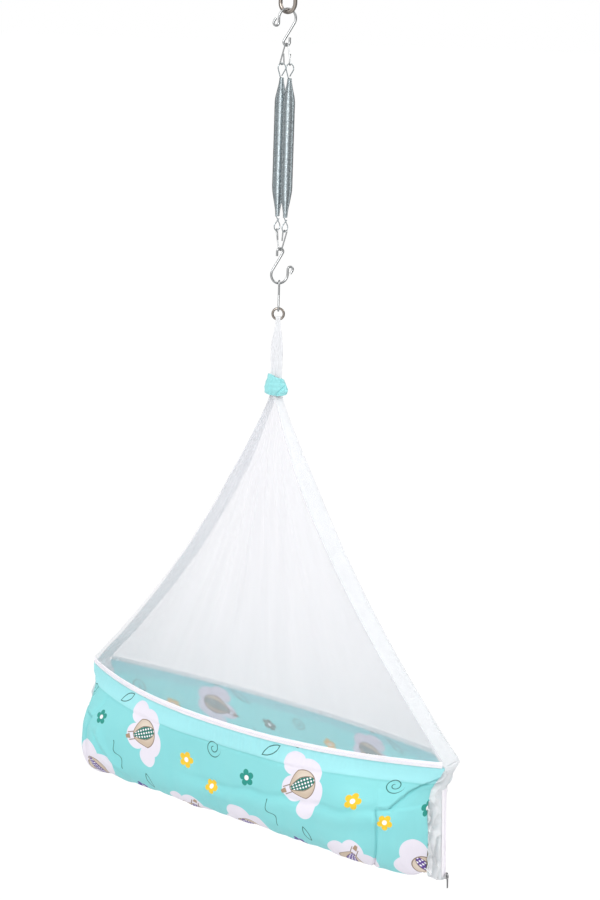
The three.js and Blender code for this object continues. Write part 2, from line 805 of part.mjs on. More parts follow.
// Stands a slider's own frame (X across, Y up, Z out) on an end of the cradle.
function standOnEnd(mesh, foot, side) {
  const across = at(0, side, 0);
  const up = at(-side * endFlare, 0, wallHeight - endTuckHeight).normalize();
  const basis = new THREE.Matrix4().makeBasis(across, up, across.clone().cross(up));
  mesh.quaternion.setFromRotationMatrix(basis);
  mesh.position.copy(foot);
}

function bailShape() {
  const half = bailLength / 2;
  const shape = new THREE.Shape();
  shape.moveTo(-overrun, half).lineTo(-overrun, -half).lineTo(bailReach - bailBar, -half);
  shape.lineTo(bailReach, bailBar - half).lineTo(bailReach, half - bailBar);
  shape.lineTo(bailReach - bailBar, half).closePath();
  const hole = new THREE.Path();
  hole.moveTo(0, bailBar - half).lineTo(0, half - bailBar);
  hole.lineTo(bailReach - bailBar, half - bailBar).lineTo(bailReach - bailBar, bailBar - half);
  hole.closePath();
  shape.holes.push(hole);
  return shape;
}

function pullGeometry() {
  const half = pullWidth / 2;
  const slotHalf = bailWidth / 2 + gap;
  const top = pullCrossbar / 2;
  const shape = new THREE.Shape();
  shape.moveTo(-half, top).lineTo(-half * pullTaperShare, -pullLength);
  shape.lineTo(half * pullTaperShare, -pullLength).lineTo(half, top).closePath();
  const slot = new THREE.Path();
  slot.moveTo(-slotHalf, -top - pullSlotLength).lineTo(-slotHalf, -top);
  slot.lineTo(slotHalf, -top).lineTo(slotHalf, -top - pullSlotLength).closePath();
  shape.holes.push(slot);
  return new THREE.ExtrudeGeometry(shape, { depth: pullThickness, bevelEnabled: false });
}

ceilingLink();
sHooks();
yokes();
springs();
smallSLink();
strapRing();
strapLoop();
neckCollar();
bands();
nets();
walls();
rimStrips();
ends();
baseCover();
baseBoard();
foamMattress();
sliders();

export default cradle;
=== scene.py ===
"""Hanging baby cradle: cloth trough and net tent on a strap, two S-hooks and twin springs."""
import math
from contextlib import contextmanager

import bpy
import numpy as np
from mathutils import Matrix, Vector


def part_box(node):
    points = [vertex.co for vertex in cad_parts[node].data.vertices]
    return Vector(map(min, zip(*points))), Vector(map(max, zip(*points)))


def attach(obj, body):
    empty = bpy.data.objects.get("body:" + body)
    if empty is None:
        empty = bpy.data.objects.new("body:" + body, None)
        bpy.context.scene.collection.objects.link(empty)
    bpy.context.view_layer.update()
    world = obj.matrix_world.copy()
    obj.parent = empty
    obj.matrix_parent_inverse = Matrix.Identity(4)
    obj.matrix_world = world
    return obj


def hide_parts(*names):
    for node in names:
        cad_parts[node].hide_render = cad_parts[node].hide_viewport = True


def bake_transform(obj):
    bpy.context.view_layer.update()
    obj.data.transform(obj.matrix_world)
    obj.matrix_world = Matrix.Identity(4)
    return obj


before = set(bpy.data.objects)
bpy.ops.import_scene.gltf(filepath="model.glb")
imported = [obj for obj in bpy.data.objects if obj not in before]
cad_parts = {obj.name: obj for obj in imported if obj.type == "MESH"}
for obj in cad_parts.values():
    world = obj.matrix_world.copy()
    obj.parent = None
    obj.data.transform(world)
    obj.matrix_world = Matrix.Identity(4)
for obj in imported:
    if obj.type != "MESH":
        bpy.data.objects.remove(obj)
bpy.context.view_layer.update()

MM = 0.001
SEED = 7

# Photograph's camera, in metres, degrees and pixels
CAMERA_AZIMUTH = 38.0
CAMERA_DISTANCE = 3.8
CAMERA_ABOVE_RIM = 1.39
CAMERA_PITCH = 12.735
CAMERA_ROLL = 1.96
CAMERA_AIM = 0.742
FOCAL_PIXELS = 2010.7
IMAGE_HEIGHT = 900
SENSOR = 36.0
CAMERA_REACH = 100

# Cloth body, the same sizes as its solids
RIM_LENGTH = 890 * MM
END_TUCK = 22 * MM
END_TUCK_HEIGHT = 46 * MM
END_FLARE = 8 * MM
END_WIDTH = 50 * MM
END_BELLY = 20 * MM
END_PINCH = 12 * MM
END_TIP = 26 * MM
WALL_HEIGHT = 205 * MM
FRONT_RIM_DEPTH = 138 * MM
FRONT_BODY_DEPTH = 146 * MM
FRONT_CORNER_RADIUS = 72 * MM
REAR_RIM_DEPTH = 62 * MM
REAR_BODY_DEPTH = 148 * MM
REAR_CORNER_RADIUS = 60 * MM
REAR_RIM_DIP = 6 * MM
RIM_POWER = 2.2
FRONT_BOX_POWER = 13
REAR_BODY_POWER = 5
REAR_BASE_POWER = 9
WALL_SHARE = 0.5
SHOULDER_SHARE = 0.5
TIP_SHARE = 0.4

# Tent
TENT_HEIGHT = 640 * MM
BAND_THICKNESS = 3 * MM
NECK_HALF_LENGTH = 8 * MM
NECK_HALF_WIDTH = 11 * MM
BAND_WIDE_SHARE = 0.3
BAND_SAG = 0.1
NET_THICKNESS = 1.2 * MM
NET_FOLD = 7 * MM
NET_FOLDS = 9
GAP = 0.3 * MM
LEAST_CUT = 11 * MM

# Zips and hems
TAPE_HEIGHT = 12 * MM
TAPE_THICKNESS = 1.2 * MM
BINDING_HEIGHT = 9 * MM
HEM_DEPTH = 37 * MM
REAR_HEM_DEPTH = 24 * MM
TEETH_WIDTH = 3.4 * MM
TEETH_HEIGHT = 1.4 * MM
END_CLOTH = 2 * MM
END_BULGE = 5 * MM
END_TAPE_WIDTH = 18 * MM
END_ZIP_MARGIN = 6 * MM
TOOTH_PITCH = 2.6 * MM

# Turns of the chain's pieces about the vertical, in degrees
HOOK_YAW = 62
YOKE_YAW = -18
EYE_YAW = 80
S_LINK_YAW = 128
RING_YAW = 38

RIM_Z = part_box("front_wall")[1].z
BOTTOM_Z = RIM_Z - WALL_HEIGHT
NECK_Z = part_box("net_front")[1].z
HALF_LENGTH = RIM_LENGTH / 2
END_HALF = END_WIDTH / 2


def mix(a, b, share):
    return a + (b - a) * share


def inside(share):
    return np.clip(share, 0, 1)


def smooth(share):
    return share * share * (3 - 2 * share)


def hump(distance, width):
    """One where the distance is zero, fading out over the width."""
    return np.exp(-((distance / width) ** 2))


def ripples(across, down, seed, count, shortest, longest):
    """Gentle uneven waves of cloth, about one high."""
    draw = np.random.default_rng(seed)
    height = 0
    for _ in range(count):
        length = draw.uniform(shortest, longest)
        heading, phase = draw.uniform(0, math.pi), draw.uniform(0, 2 * math.pi)
        run = across * math.cos(heading) + down * math.sin(heading)
        height = height + np.sin(2 * math.pi * run / length + phase)
    return height / math.sqrt(count)


def turned(x, y, degrees):
    """A place turned about the vertical."""
    turn = math.radians(degrees)
    return x * math.cos(turn) - y * math.sin(turn), x * math.sin(turn) + y * math.cos(turn)


def puckered(distance, height, lip, tuck):
    """A rounded lip beside a sharper tuck, each with its place and its width."""
    return height * (hump(distance - lip[0], lip[1]) - hump(distance - tuck[0], tuck[1]))


# Steps of modelling that every piece takes

def made(name, add, **sizes):
    """A new mesh from one of Blender's primitives, its place and turn taken into its points."""
    bpy.ops.object.select_all(action="DESELECT")
    add(**sizes)
    bpy.ops.object.transform_apply(location=True, rotation=True, scale=True)
    piece = bpy.context.object
    piece.name = piece.data.name = name
    return piece


def brought_in(name, data):
    """A new object that holds the data, selected and active."""
    piece = bpy.data.objects.new(name, data)
    bpy.context.collection.objects.link(piece)
    bpy.ops.object.select_all(action="DESELECT")
    piece.select_set(True)
    bpy.context.view_layer.objects.active = piece
    return piece


@contextmanager
def editing():
    """Edit mode, with the whole mesh selected."""
    bpy.ops.object.mode_set(mode="EDIT")
    bpy.ops.mesh.select_all(action="SELECT")
    yield
    bpy.ops.object.mode_set(mode="OBJECT")


def changed_by(kind, name, **settings):
    """Gives the active piece a modifier and applies it."""
    modifier = bpy.context.object.modifiers.new(name, kind)
    for setting, value in settings.items():
        setattr(modifier, setting, value)
    bpy.ops.object.modifier_apply(modifier=modifier.name)


def points_of(mesh):
    return np.array([point.co for point in mesh.vertices])


def move_points(mesh, places):
    mesh.vertices.foreach_set("co", places.ravel())
    mesh.update()


# Forms that a sheet of cloth is laid on

def threads(surface):
    """Metres along the cloth from its middle column, and down from its first row."""
    steps = np.linalg.norm(np.diff(surface, axis=1), axis=2)
    across = np.concatenate([np.zeros((len(surface), 1)), np.cumsum(steps, axis=1)], axis=1)
    across -= across[:, across.shape[1] // 2][:, None]
    falls = np.linalg.norm(np.diff(surface, axis=0), axis=2)
    down = np.concatenate([np.zeros((1, surface.shape[1])), np.cumsum(falls, axis=0)])
    return across, down


def outward(surface):
    """The direction that the cloth's outer face looks in."""
    along = np.gradient(surface, axis=1)
    fall = np.gradient(surface, axis=0)
    normal = np.cross(fall, along)
    return normal / np.maximum(np.linalg.norm(normal, axis=2, keepdims=True), 1e-12)


def cut_of(surface, across, down):
    """Width, length and area of the flat piece that a sheet was cut to."""
    along = np.diff(surface, axis=1)[:-1]
    fall = np.diff(surface, axis=0)[:, :-1]
    area = np.linalg.norm(np.cross(along, fall), axis=2).sum()
    return (float(np.ptp(across, axis=1).max()), float(down.max())), float(area)


def laid_cloth(name, place, faces, thickness, relief=None):
    """A grid laid on place(u, v), pushed out by its relief, then given the cloth's thickness."""
    columns, rows = faces
    u, v = np.meshgrid(np.linspace(0, 1, columns + 1), np.linspace(0, 1, rows + 1))
    surface = np.stack(np.broadcast_arrays(*place(u, v)), axis=2).astype(float)
    across, down = threads(surface)
    if relief is not None:
        surface += outward(surface) * relief(surface, across, down)[..., None]
    grid = bpy.ops.mesh.primitive_grid_add
    piece = made(name, grid, x_subdivisions=columns, y_subdivisions=rows, size=1)
    flat = points_of(piece.data)
    column = np.rint((flat[:, 0] + 0.5) * columns).astype(int)
    row = np.rint((0.5 - flat[:, 1]) * rows).astype(int)
    move_points(piece.data, surface[row, column])
    corners = np.empty(len(piece.data.loops), int)
    piece.data.loops.foreach_get("vertex_index", corners)
    thread = np.stack([across[row, column], -down[row, column]], axis=1)
    piece.data.uv_layers.active.data.foreach_set("uv", thread[corners].ravel())
    if thickness:
        changed_by("SOLIDIFY", "Cloth thickness", thickness=thickness, offset=-1)
    bpy.ops.object.shade_smooth()
    cut, area = cut_of(surface, *threads(surface))
    cut = [max(side, LEAST_CUT) for side in cut]
    return piece


def end_reach(z):
    """Half of the body's length at a height: tucked in under the rim, then flaring out."""
    fall = RIM_Z - z
    below = np.maximum(0, fall - END_TUCK_HEIGHT) / (WALL_HEIGHT - END_TUCK_HEIGHT)
    return HALF_LENGTH - END_TUCK * inside(fall / END_TUCK_HEIGHT) + END_FLARE * below


def shoulder(z):
    return smooth(inside((RIM_Z - z) / (WALL_HEIGHT * SHOULDER_SHARE)))


def end_half_at(side, z):
    """How far an end's cloth reaches to the front, or to the rear, of its zip."""
    return END_HALF + shoulder(z) * (END_BELLY if side < 0 else -END_PINCH)


def end_half(y, z):
    """The same for each place, by whether it lies in front of the zip or behind it."""
    return np.where(y < 0, end_half_at(-1, z), end_half_at(1, z))


def body_z(side, down):
    """Height of the body's outer face, from its rim at 0 to its base at 1."""
    corner = FRONT_CORNER_RADIUS if side < 0 else REAR_CORNER_RADIUS
    top = RIM_Z if side < 0 else RIM_Z - REAR_RIM_DIP
    turn = inside((down - WALL_SHARE) / (1 - WALL_SHARE)) * math.pi / 2
    return mix(top, BOTTOM_Z + corner, inside(down / WALL_SHARE)) - corner * np.sin(turn)


def body_depth(side, x, down):
    """Depth of the body's outer face from the middle plane, at a place along it."""
    front = side < 0
    rim, body, corner = (
        (FRONT_RIM_DEPTH, FRONT_BODY_DEPTH, FRONT_CORNER_RADIUS) if front
        else (REAR_RIM_DEPTH, REAR_BODY_DEPTH, REAR_CORNER_RADIUS)
    )
    wall = inside(down / WALL_SHARE)
    turn = inside((down - WALL_SHARE) / (1 - WALL_SHARE))
    belly = mix(rim, body, smooth(wall) if front else wall)
    depth = belly - corner * (1 - np.cos(turn * math.pi / 2))
    z = body_z(side, down)
    if front:
        power = RIM_POWER * (FRONT_BOX_POWER / RIM_POWER) ** shoulder(z)
    else:
        power = mix(mix(RIM_POWER, REAR_BODY_POWER, wall), REAR_BASE_POWER, turn)
    end = end_half_at(side, z)
    share = inside(np.abs(x) / end_reach(z))
    return end + (depth - end) * (1 - share ** power)


# Share of the way out from the neck: the tent hangs in a hollow line
def tent_out(down):
    return down - 4 * BAND_SAG * down * (1 - down)


def band_x(down):
    return mix(NECK_HALF_LENGTH, HALF_LENGTH + GAP, tent_out(down))


def band_half_width(down):
    return mix(NECK_HALF_WIDTH, END_HALF, smooth(inside(down / BAND_WIDE_SHARE)))


# Looks: shader nodes written as sums

class Field:
    """A value that varies over a surface."""

    def __init__(self, graph, socket):
        self.graph = graph
        self.socket = socket

    def __add__(self, other):
        return self.graph.sum("ADD", self, other)

    def __sub__(self, other):
        return self.graph.sum("SUBTRACT", self, other)

    def __mul__(self, other):
        return self.graph.sum("MULTIPLY", self, other)

    def __truediv__(self, other):
        return self.graph.sum("DIVIDE", self, other)

    def size(self):
        return self.graph.sum("ABSOLUTE", self)

    def sine(self):
        return self.graph.sum("SINE", self)

    def least(self, other):
        return self.graph.sum("MINIMUM", self, other)

    def most(self, other):
        return self.graph.sum("MAXIMUM", self, other)

    def mask(self, edge):
        """One where the value is above zero, with a soft edge."""
        return self.graph.sum("MULTIPLY_ADD", self, 1 / edge, 0.5, clamp=True)


class Graph:
    """A tree of shader nodes."""

    def __init__(self, tree):
        self.nodes = tree.nodes
        self.links = tree.links

    def put(self, socket, value):
        if isinstance(value, Field):
            self.links.new(value.socket, socket)
        else:
            socket.default_value = value

    def read(self, kind, output):
        return Field(self, self.nodes.new(kind).outputs[output])

    def sum(self, operation, *values, clamp=False):
        node = self.nodes.new("ShaderNodeMath")
        node.operation = operation
        node.use_clamp = clamp
        for socket, value in zip(node.inputs, values):
            self.put(socket, value)
        return Field(self, node.outputs[0])

    def blend(self, share, first, second):
        """Two colours mixed."""
        node = self.nodes.new("ShaderNodeMix")
        node.data_type = "RGBA"
        self.put(node.inputs[0], share)
        self.put(node.inputs[6], first)
        self.put(node.inputs[7], second)
        return Field(self, node.outputs[2])

    def split(self, place):
        """A place's distances along X, Y and Z."""
        node = self.nodes.new("ShaderNodeSeparateXYZ")
        self.put(node.inputs[0], place)
        return [Field(self, output) for output in node.outputs]

    def rays(self):
        """Whether a ray comes from the eye or through glass, and whether from a mirror."""
        path = self.nodes.new("ShaderNodeLightPath").outputs
        eye = Field(self, path["Is Camera Ray"]).most(Field(self, path["Is Transmission Ray"]))
        return eye, Field(self, path["Is Glossy Ray"])


class Look(Graph):
    """One material and the nodes that feed its shader."""

    def __init__(self, name, roughness, metallic=0.0):
        self.material = bpy.data.materials.new(name)
        self.material.use_nodes = True
        super().__init__(self.material.node_tree)
        self.shader = self.nodes["Principled BSDF"]
        self.set("Roughness", roughness)
        self.set("Metallic", metallic)

    def set(self, socket, value):
        self.put(self.shader.inputs[socket], value)

    def uv(self):
        place = self.nodes.new("ShaderNodeUVMap")
        place.uv_map = "UVMap"
        return Field(self, place.outputs[0])

    def cloth_map(self):
        """Metres along the cloth and up it."""
        across, up, _ = self.split(self.uv())
        return across, up

    def object_map(self):
        return self.read("ShaderNodeTexCoord", "Object")

    def spot(self, x, y):
        """A place in a pattern, from its two distances."""
        join = self.nodes.new("ShaderNodeCombineXYZ")
        self.put(join.inputs[0], x)
        self.put(join.inputs[1], y)
        return Field(self, join.outputs[0])

    def noise(self, where, scale, detail, stretch=(1, 1, 1)):
        mapping = self.nodes.new("ShaderNodeMapping")
        mapping.inputs["Scale"].default_value = stretch
        self.put(mapping.inputs[0], where)
        cloud = self.nodes.new("ShaderNodeTexNoise")
        cloud.inputs["Scale"].default_value = scale
        cloud.inputs["Detail"].default_value = detail
        self.links.new(mapping.outputs[0], cloud.inputs["Vector"])
        return Field(self, cloud.outputs[0])

    def relief(self, height, distance):
        bump = self.nodes.new("ShaderNodeBump")
        bump.inputs["Distance"].default_value = distance
        bump.inputs["Strength"].default_value = 1.0
        self.put(bump.inputs["Height"], height)
        self.links.new(bump.outputs[0], self.shader.inputs["Normal"])
        return self

    def let_light_through(self, share, colour, cover=1.0):
        """Mixes in light from the cloth's far side, and holes where the cover is below one."""
        glow = self.nodes.new("ShaderNodeBsdfTranslucent")
        self.put(glow.inputs["Color"], colour)
        self.links.new(self.shader.inputs["Normal"].links[0].from_socket, glow.inputs["Normal"])
        both = self.nodes.new("ShaderNodeMixShader")
        both.inputs[0].default_value = share
        self.links.new(self.shader.outputs[0], both.inputs[1])
        self.links.new(glow.outputs[0], both.inputs[2])
        clear = self.nodes.new("ShaderNodeBsdfTransparent")
        holes = self.nodes.new("ShaderNodeMixShader")
        self.put(holes.inputs[0], cover)
        self.links.new(clear.outputs[0], holes.inputs[1])
        self.links.new(both.outputs[0], holes.inputs[2])
        self.links.new(holes.outputs[0], self.nodes["Material Output"].inputs["Surface"])
        return self

    def weave(self, across, up, pitch):
        """Height of plain-woven threads."""
        turn = 2 * math.pi / pitch
        return (across * turn).sine() * (up * turn).sine()


def tint(code):
    """A colour written as in a paint chart, made linear."""
    parts = [int(code[i:i + 2], 16) / 255 for i in (1, 3, 5)]
    return (*[p / 12.92 if p <= 0.04045 else ((p + 0.055) / 1.055) ** 2.4 for p in parts], 1)


def darker(colour, share):
    return (*[part * share for part in colour[:3]], 1)


# Cloth
WEAVE_PITCH = 0.9 * MM
TICKING_PITCH = 1.4 * MM
COTTON_RELIEF = 0.25 * MM
COLLAR_RELIEF = 0.4 * MM
PRINT_RELIEF = 0.3 * MM
CLOTH_ROUGHNESS = 0.85
COTTON_SHEEN = 0.15
PRINT_SHEEN = 0.1
CLOTH_SHADE = 0.9
WEAVE_SHARE = 0.25
PRINT_WEAVE_SHARE = 0.2
CREASE_SHARE = 2
WHITE_GLOW = 0.35
REAR_GLOW = 0.7
WHITE_DYE = "#F8F9FB"

# Net, whose folds fan out from a place above its top
FAN_RISE = 0.12
NET_RELIEF = 3 * MM
NET_GLOW = 0.45
NET_COVER = 0.25
NET_COVER_FALL = 0.2
NET_COVER_SWAY = 0.14
NET_SHADE_FALL = 1.6
NET_SHADE_SWAY = 0.5

# Zips and board
TAPE_RIB = 1.5 * MM
TAPE_CROSS_RIB = 1.1 * MM
TAPE_RELIEF = 0.12 * MM
TEETH_RELIEF = 0.05 * MM
GRAIN_RELIEF = 0.4 * MM

# Metal
SCRATCH_DEPTH = 0.02 * MM
COIL_SCRATCH_DEPTH = 0.004 * MM
WEAR_SHARE = 0.7
COIL_WEAR_SHARE = 0.92
COIL_ROUGHNESS = 0.26
ROUGHNESS_SWAY = 0.12


def woven(name, code, pitch=WEAVE_PITCH, relief=COTTON_RELIEF):
    """Plain dyed cotton: its weave, and slight unevenness of tone."""
    look = Look(name, CLOTH_ROUGHNESS)
    across, up = look.cloth_map()
    tone = look.noise(look.uv(), scale=18, detail=4)
    base = tint(code)
    look.set("Base Color", look.blend(tone, base, darker(base, CLOTH_SHADE)))
    look.set("Sheen Weight", COTTON_SHEEN)
    creases = look.noise(look.uv(), scale=45, detail=3)
    return look.relief(look.weave(across, up, pitch) * WEAVE_SHARE + creases * CREASE_SHARE, relief)


def thin_white():
    """White cotton that lets through some of the light behind it."""
    look = woven("White cotton", WHITE_DYE)
    return look.let_light_through(WHITE_GLOW, tint(WHITE_DYE)).material


def metal(name, code, roughness, wear_share=WEAR_SHARE, scratch_depth=SCRATCH_DEPTH):
    """Bright metal, duller where it is worn, with scratches drawn along the wire."""
    look = Look(name, roughness, metallic=1.0)
    where = look.object_map()
    wear = look.noise(where, scale=700, detail=2)
    base = tint(code)
    look.set("Base Color", look.blend(wear, base, darker(base, wear_share)))
    scratches = look.noise(where, scale=200, detail=3, stretch=(1, 1, 5))
    smoothest = roughness - ROUGHNESS_SWAY / 2
    look.set("Roughness", look.sum("MULTIPLY_ADD", scratches, ROUGHNESS_SWAY, smoothest))
    return look.relief(scratches, scratch_depth).material


# Printed cotton: clouds with air balloons, flowers and thin curls on turquoise, repeated over a tile
TILE = (0.40, 0.28)
INK_EDGE = 0.6 * MM
LINE_HALF = 0.95 * MM
HEM_EDGE = 1.5 * MM
CLOUD_INK = "#E7E2ED"
PALE_INK = "#F4F2F6"
LINE_INK = "#1E6660"
SEAM_INK = "#8A7667"
VIOLET = "#5E3F97"
YELLOW = "#F0C62E"

# Flower
FLOWER_RADIUS = 17 * MM
SMALL_FLOWER_RADIUS = 15 * MM
PETALS = 5
PETAL_POWER = 0.6
PETAL_SHARE = 0.45
FLOWER_EYE_SHARE = 0.3

# Air balloon, in shares of its radius
BALLOON_RADIUS = 29 * MM
TAPER_SHARE = 0.42
GORE_SHARE = 0.46
SHINE_SHARES = (-0.2, 0.25, 0.72)
SHINE_EDGE = 16 * MM
BASKET_DROP_SHARE = 1.55
BASKET_HALF_SHARES = (0.42, 0.2)
ROPE_DROP_SHARE = 1.2
ROPE_HALF_SHARES = (0.26, 0.3)
DOT_SPACING = 7 * MM
DOT_RADIUS = 2.1 * MM

# Thin lines
WAVELET_LENGTH = 56 * MM
WAVELET_SWAY = 6 * MM
WAVELET_PERIOD = 37 * MM
CURL_PITCH = 10 * MM
CURL_REACH = 19 * MM
CURL_START = 3 * MM
LEAF_LENGTH = 46 * MM
LEAF_BOW = 40 * MM
SMALL_LEAF_LENGTH = 36 * MM
SMALL_LEAF_BOW = 30 * MM


class Print:
    """The repeated print of the cotton, drawn motif by motif over its ground."""

    def __init__(self, look, ground):
        self.look = look
        self.across, self.up = look.cloth_map()
        self.ink = ground

    def wrap(self, value, period):
        return self.look.sum("WRAP", value, period / 2, -period / 2)

    def at(self, x, y, degrees):
        """Metres from a motif's middle, turned with it."""
        dx = self.wrap(self.across - x, TILE[0])
        dy = self.wrap(self.up - y, TILE[1])
        c, s = math.cos(math.radians(degrees)), math.sin(math.radians(degrees))
        return dx * c + dy * s, dy * c - dx * s

    def lay(self, mask, code):
        self.ink = self.look.blend(mask, self.ink, tint(code))

    def far(self, x, y, cx=0.0, cy=0.0):
        dx, dy = x - cx, y - cy
        return self.look.sum("SQRT", dx * dx + dy * dy)

    def angle(self, x, y):
        return self.look.sum("ARCTAN2", y, x)

    def disc(self, x, y, cx, cy, radius, edge=INK_EDGE):
        return (self.far(x, y, cx, cy) * -1 + radius).mask(edge)

    def line(self, distance, *limits):
        """A drawn line, where a distance is zero and every limit is above zero."""
        stroke = distance.size() * -1 + LINE_HALF
        for limit in limits:
            stroke = stroke.least(limit)
        return stroke.mask(INK_EDGE)

    def cloud(self, x, y, puffs):
        shape = None
        for cx, cy, radius in puffs:
            puff = self.disc(x, y, cx * MM, cy * MM, radius * MM)
            shape = puff if shape is None else shape.most(puff)
        self.lay(shape, CLOUD_INK)

    def flower(self, place, code, radius=FLOWER_RADIUS):
        x, y = self.at(*place)
        far = self.far(x, y)
        lobe = (self.angle(x, y) * (PETALS / 2)).sine().size()
        petal = self.look.sum("POWER", lobe, PETAL_POWER) * (PETAL_SHARE * radius)
        self.lay((petal + (1 - PETAL_SHARE) * radius - far).mask(INK_EDGE), code)
        self.lay((far * -1 + FLOWER_EYE_SHARE * radius).mask(INK_EDGE), PALE_INK)

    def balloon(self, place, code, puffs):
        """An air balloon before a cloud: plain gores beside a dotted one, and its basket."""
        radius = BALLOON_RADIUS
        x, y = self.at(*place)
        self.cloud(x, y, puffs)
        waist = self.look.sum("MULTIPLY_ADD", y, TAPER_SHARE / radius, 1.0).least(1.0)
        wide = x / waist
        far = self.far(wide, y)
        envelope = (far * -1 + radius).mask(INK_EDGE)
        self.lay(envelope, "#C9B6A2")
        shine = self.disc(wide, y, *[share * radius for share in SHINE_SHARES], SHINE_EDGE)
        self.lay(shine.least(envelope), "#DDCFC0")
        half = self.look.sum("SQRT", (y * y * -1 + radius * radius).most(0.0)) * GORE_SHARE
        gore = (half - wide.size()).mask(INK_EDGE).least(envelope)
        self.lay(gore, code)
        row = self.wrap(y, DOT_SPACING)
        column = self.wrap(wide, DOT_SPACING)
        self.lay(self.disc(column, row, 0.0, 0.0, DOT_RADIUS).least(gore), PALE_INK)
        seam = self.line(half - wide.size()).least(envelope)
        self.lay(seam.most(self.line(far - radius)), SEAM_INK)
        basket_width, basket_height = BASKET_HALF_SHARES
        below = y + BASKET_DROP_SHARE * radius
        basket = wide.size() * -1 + basket_width * radius
        basket = basket.least(below.size() * -1 + basket_height * radius)
        self.lay(basket.mask(INK_EDGE), "#A98D73")
        rope_place, rope_length = ROPE_HALF_SHARES
        drop = (y + ROPE_DROP_SHARE * radius).size() * -1 + rope_length * radius
        self.lay(self.line(x.size() - rope_place * radius, drop), SEAM_INK)

    def wavelet(self, place):
        x, y = self.at(*place)
        curve = (x * (2 * math.pi / WAVELET_PERIOD)).sine() * WAVELET_SWAY
        self.lay(self.line(y - curve, x.size() * -1 + WAVELET_LENGTH / 2), LINE_INK)

    def curl(self, place):
        x, y = self.at(*place)
        far = self.far(x, y)
        turn = self.angle(x, y) / (2 * math.pi)
        off = self.wrap(far / CURL_PITCH - turn, 1) * CURL_PITCH
        self.lay(self.line(off, far * -1 + CURL_REACH, far - CURL_START), LINE_INK)

    def leaf(self, place, length=LEAF_LENGTH, bow=LEAF_BOW):
        """The outline of a slender leaf: the two arcs of a lens."""
        x, y = self.at(*place)
        offset = math.sqrt(bow ** 2 - (length / 2) ** 2)
        upper = self.far(x, y, 0.0, -offset) - bow
        lower = self.far(x, y, 0.0, offset) - bow
        self.lay(self.line(upper.most(lower)), LINE_INK)


# A cloud's puffs: across, up and radius in millimetres. A motif's place: metres, metres and degrees
TALL_CLOUD = [(-30, 10, 30), (0, 34, 32), (34, 8, 27), (12, -28, 31), (-20, -22, 24)]
LONG_CLOUD = [(-44, -4, 24), (-16, 14, 32), (20, 12, 30), (46, -6, 21), (2, -22, 26)]
ROUND_CLOUD = [(-26, -14, 28), (-16, 24, 27), (20, 26, 29), (34, -10, 24), (4, -30, 26)]
BALLOONS = (
    ((0.06, 0.07, 24), VIOLET, TALL_CLOUD),
    ((0.20, 0.21, -64), "#1F7467", LONG_CLOUD),
    ((0.31, 0.06, 152), VIOLET, ROUND_CLOUD),
)
FLOWERS = (
    ((0.185, 0.075, 10), "#5B3A98", FLOWER_RADIUS),
    ((0.315, 0.19, 40), YELLOW, FLOWER_RADIUS),
    ((0.07, 0.195, 70), "#1F9184", FLOWER_RADIUS),
    ((0.385, 0.155, 25), YELLOW, SMALL_FLOWER_RADIUS),
)
WAVELETS = ((0.185, 0.008, 18), (0.135, 0.14, -52))
CURL_PLACE = (0.382, 0.232, 0)
LEAF_PLACE = (0.12, 0.262, 34)
SMALL_LEAF_PLACE = (0.216, 0.11, -70)
PRINT_GROUNDS = ("#80D0D4", "#8DD8D9")
# The rear's grounds are painted lighter than the front's: painted light on the rear wall's inner face,
# which lies in shade inside the trough
REAR_GROUNDS_PAINTED_LIGHTER = ("#95E9EC", "#A1F0F1")
HEM_GROUND = "#A0E2E7"


def print_cotton(name, hem=0.0, grounds=PRINT_GROUNDS, glow=0.0):
    """Printed cotton, paler in a band over the hem at the top, with some of the light behind it."""
    look = Look(name, CLOTH_ROUGHNESS)
    tone = look.noise(look.uv(), scale=9, detail=3)
    ground = look.blend(tone, *map(tint, grounds))
    if hem:
        # Paler ground over the hem band at the top of the wall
        hem_band = (look.cloth_map()[1] + hem).mask(HEM_EDGE)
        ground = look.blend(hem_band, ground, tint(HEM_GROUND))
    cotton = Print(look, ground)
    for place, code, puffs in BALLOONS:
        cotton.balloon(place, code, puffs)
    for place, code, radius in FLOWERS:
        cotton.flower(place, code, radius)
    for place in WAVELETS:
        cotton.wavelet(place)
    cotton.curl(CURL_PLACE)
    cotton.leaf(LEAF_PLACE)
    cotton.leaf(SMALL_LEAF_PLACE, SMALL_LEAF_LENGTH, SMALL_LEAF_BOW)
    look.set("Base Color", cotton.ink)
    look.set("Sheen Weight", PRINT_SHEEN)
    creases = look.noise(look.uv(), scale=40, detail=3)
    weave = look.weave(cotton.across, cotton.up, WEAVE_PITCH)
    look.relief(weave * PRINT_WEAVE_SHARE + creases * CREASE_SHARE, PRINT_RELIEF)
    if glow:
        look.let_light_through(glow, cotton.ink)
    return look.material


def net_mesh():
    """Fine mosquito net: too fine to be drawn thread by thread, in folds that fan out downwards."""
    look = Look("Net", roughness=0.9)
    across, up = look.cloth_map()
    fan = across / (up * -1 + FAN_RISE)
    tone = look.noise(look.spot(fan, up), scale=13, detail=2, stretch=(1, 0.2, 1))
    # Painted shade: the net's white turns greyer towards the bottom and in streaks along its folds
    low = up * up * NET_SHADE_FALL + tone * NET_SHADE_SWAY
    white = look.blend(low, tint("#F8F7FC"), tint("#DCDDE2"))
    look.set("Base Color", white)
    look.relief(tone, NET_RELIEF)
    cover = up * -NET_COVER_FALL + (tone * NET_COVER_SWAY + NET_COVER)
    return look.let_light_through(NET_GLOW, white, cover).material


def zip_tape_look():
    look = Look("Zip tape", roughness=0.8)
    across, up = look.cloth_map()
    tone = look.noise(look.uv(), scale=60, detail=3)
    look.set("Base Color", look.blend(tone, tint("#FFFDFF"), tint("#F6F2FA")))
    ribs = (up * (2 * math.pi / TAPE_RIB)).sine()
    cross_ribs = (across * (2 * math.pi / TAPE_CROSS_RIB)).sine() * 0.5
    return look.relief(ribs + cross_ribs, TAPE_RELIEF).material


